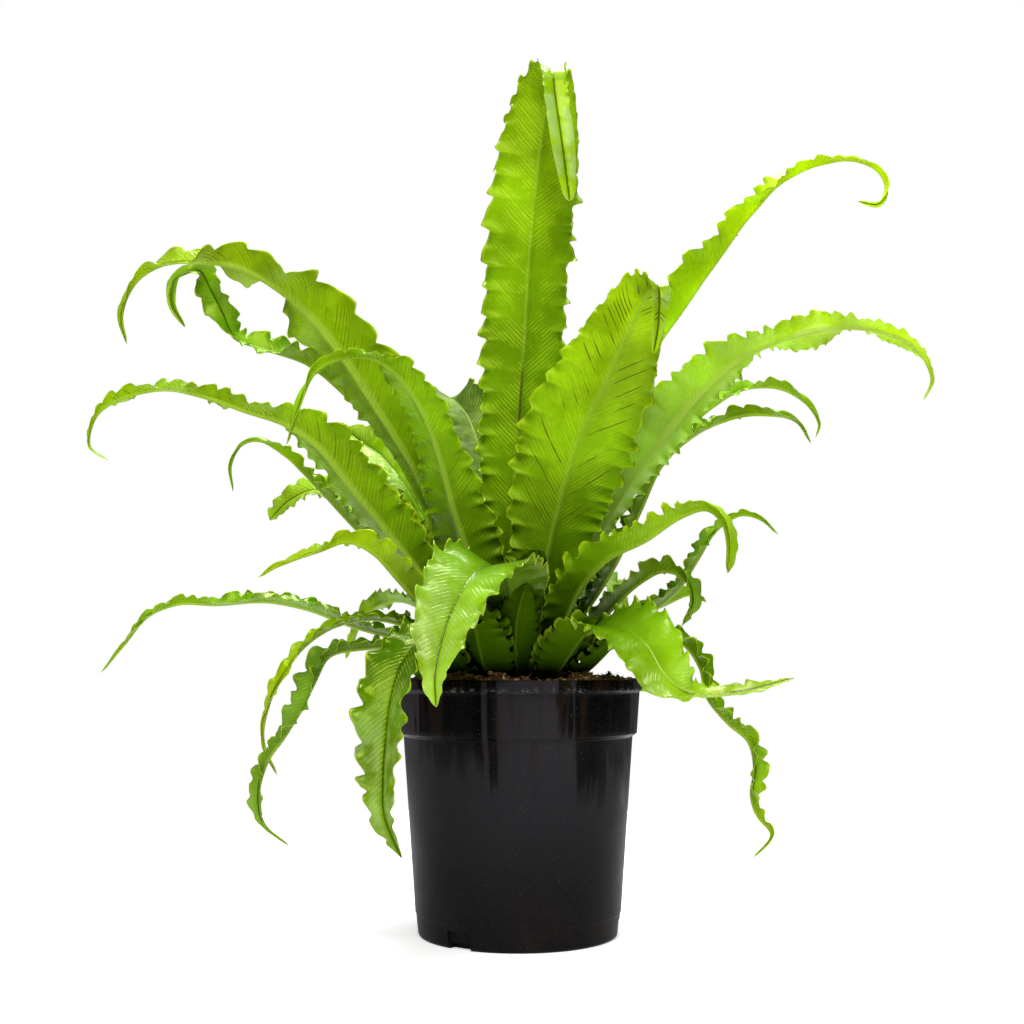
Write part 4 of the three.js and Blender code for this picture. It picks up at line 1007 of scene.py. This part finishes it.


# Each crumb has its own shade from dark to pale, and far down the soil is painted black as shade inside the
# pot.
def makeSoilMaterial():
    looks = soilLooks
    material, tree, shader = newMaterial("barkAndCoir")
    values = dict(height=splitVector(objectPlace(tree))[2])
    climbs = climbsOf(tree, looks, values)
    shade = readAttribute(tree, "crumbShade")
    uneven = sums("SUBTRACT", values["grain"], 0.5)
    values["mixed"] = sums("MULTIPLY_ADD", uneven, looks["grainShare"], shade, clamp=True)
    colour = paint(looks, looks["dark"], *((climbs(name), name) for name in ("brown", "pale", "below")))
    rough = scaled(values["grain"], *looks["rough"])
    wireShader(shader, colour, rough, looks["specular"], values["grain"], *looks["bump"])
    return material


soilMaterial = makeSoilMaterial()
for piece in makeSoil():
    settle(piece, soilMaterial, "soil", "soil")
print("soil made")


# Crown

crownLooks = dict(
    rings=40, sides=160, pole=0.012, footShare=0.998, scales=200, scaleLength=3.2, scaleSizes=(0.6, 1.3),
    dark=(0.010, 0.006, 0.003), brown=(0.055, 0.028, 0.012), moss=(0.035, 0.05, 0.012),
    mossShare=0.5, specular=0.5, rough=(0.3, 0.6), bump=(0.7, 0.0006),
    clouds=dict(fibre=(420, 3, 0.6), patch=(60, 3)), upright=dict(fibre=0.2),
    climbs=dict(brown=("fibre", 0.35, 0.7), moss=("patch", 0.5, 0.75)),
)


# The crown: a dome whose radius swells in small ripples, with pointed scales laid over it like tiles.
def makeCrown():
    random = np.random.default_rng(seeds["crown"])
    shape, looks = crownShape, crownLooks
    rise, sides = shape["top"] - shape["level"], looks["sides"]
    turn = np.linspace(looks["pole"], np.pi / 2, looks["rings"])[:, None]
    dome = ringPoints(shape["radius"] * np.sin(turn), shape["level"] + rise * np.cos(turn), sides)
    angle, z = 2 * np.pi * np.arange(sides) / sides, dome[..., 2]
    ripple = 1 + 0.012 * np.sin(9 * angle + z) + 0.008 * np.sin(23 * angle - 1.7 * z)
    dome[..., :2] *= ripple[..., None]
    foot = np.array([[looks["footShare"]], [looks["pole"]]]) * shape["radius"]
    dome = np.concatenate([dome, ringPoints(foot, shape["foot"], sides)])

    count = looks["scales"]
    out, side = outAndRound(random.uniform(0, 2 * np.pi, count))
    high = np.arccos(random.uniform(0.05, 0.98, count))
    base = out * (shape["radius"] * np.sin(high))[:, None]
    base[:, 2] = shape["level"] + rise * np.cos(high)
    lift = out * 0.5 + [0, 0, 0.87]
    size = random.uniform(*looks["scaleSizes"], (count, 1, 1))
    scale = np.array([(-1.6, 0, -1), (1.6, 0, -1), (0, 1.4, -1), (0, 0.2, looks["scaleLength"])]) * size
    axes = side[:, None], out[:, None], lift[:, None]
    scales = base[:, None] + sum(scale[..., k:k + 1] * axis for k, axis in enumerate(axes))
    faces = repeatFaces(np.array([(0, 1, 3), (1, 2, 3), (2, 0, 3), (0, 2, 1)]), 4, count)
    return makeSkin("crownDome", dome), makePiece("crownScales", scales.reshape(-1, 3) * mm, faces)


# Dark fibres that run upright, with patches of moss.
def makeCrownMaterial():
    looks = crownLooks
    material, tree, shader = newMaterial("darkScalyCrown")
    values = {}
    climbs = climbsOf(tree, looks, values)
    layers = (climbs("brown"), "brown"), (times(climbs("moss"), looks["mossShare"]), "moss")
    colour = paint(looks, looks["dark"], *layers)
    rough = scaled(values["fibre"], *looks["rough"])
    wireShader(shader, colour, rough, looks["specular"], values["fibre"], *looks["bump"])
    return material


crownMaterial = makeCrownMaterial()
for piece in makeCrown():
    settle(piece, crownMaterial, "crown", "crown")
print("crown made")


# Studio

studio = dict(
    floorRings=(0.001, 0.3, 0.75), floorSides=96, floorGlow=0.45, floorRough=0.9, ambient=0.15,
    paper=((0.86, 0.86, 0.86), (0.89, 0.89, 0.89)),
    key=dict(place=(-0.25, -1.95, 1.9), aim=(0, 0, 0.3), size=1.5, power=80),
    top=dict(place=(0.1, 0.35, 1.9), aim=(0, 0, 0.25), size=0.8, power=62),
)
camera = dict(place=(-0.004, -0.930, 0.178), pitch=6.03, focal=1390, picture=1024, sensor=36)


def makeFloor():
    sides = studio["floorSides"]
    points = ringPoints(np.array(studio["floorRings"])[:, None], 0, sides).reshape(-1, 3)
    faces = ringFaces(len(studio["floorRings"]), sides)[:, ::-1]
    floor = makePiece("paleFloor", points, faces, (np.arange(sides),))
    material, tree, shader = newMaterial("whitePaperFloor")
    colour = blendColours(cloud(objectPlace(tree), 30), *studio["paper"])
    for name in ("Base Color", "Emission Color"):
        tree.links.new(colour, shader.inputs[name])
    shader.inputs["Roughness"].default_value = studio["floorRough"]
    shader.inputs["Emission Strength"].default_value = studio["floorGlow"]
    floor.data.materials.append(material)


def addItem(name, data, location, rotation):
    item = bpy.data.objects.new(name, data)
    item.location, item.rotation_euler = location, rotation
    bpy.context.scene.collection.objects.link(item)
    return item


# Two square lights, each turned from its place to its aim, and a world that the camera sees as white
# and the plant as dim.
def makeLights():
    for name in ("key", "top"):
        settings = studio[name]
        lamp = bpy.data.lights.new(name + "Softbox", "AREA")
        lamp.shape, lamp.size, lamp.energy = "SQUARE", settings["size"], settings["power"]
        way = np.subtract(settings["aim"], settings["place"])
        way = way / np.linalg.norm(way)
        turn = math.acos(-way[2]), 0, math.atan2(-way[0], way[1])
        addItem(name + "Softbox", lamp, settings["place"], turn)
    world = bpy.data.worlds.new("whiteStudio")
    bpy.context.scene.world = world
    world.use_nodes = True
    tree = world.node_tree
    seen = addNode(tree, "ShaderNodeLightPath").outputs["Is Camera Ray"]
    strength = sums("MAXIMUM", seen, studio["ambient"])
    tree.links.new(strength, tree.nodes["Background"].inputs["Strength"])
    tree.nodes["Background"].inputs["Color"].default_value = (1, 1, 1, 1)


def makeCamera():
    lens = bpy.data.cameras.new("studioCamera")
    lens.sensor_width = camera["sensor"]
    lens.lens = camera["focal"] / camera["picture"] * camera["sensor"]
    lens.clip_start, lens.clip_end = 0.02, 50
    upright = (math.radians(90 + camera["pitch"]), 0, 0)
    bpy.context.scene.camera = addItem("studioCamera", lens, camera["place"], upright)


makeFloor()
makeLights()
makeCamera()
bpy.context.scene.view_settings.view_transform = "Standard"
print("studio made")
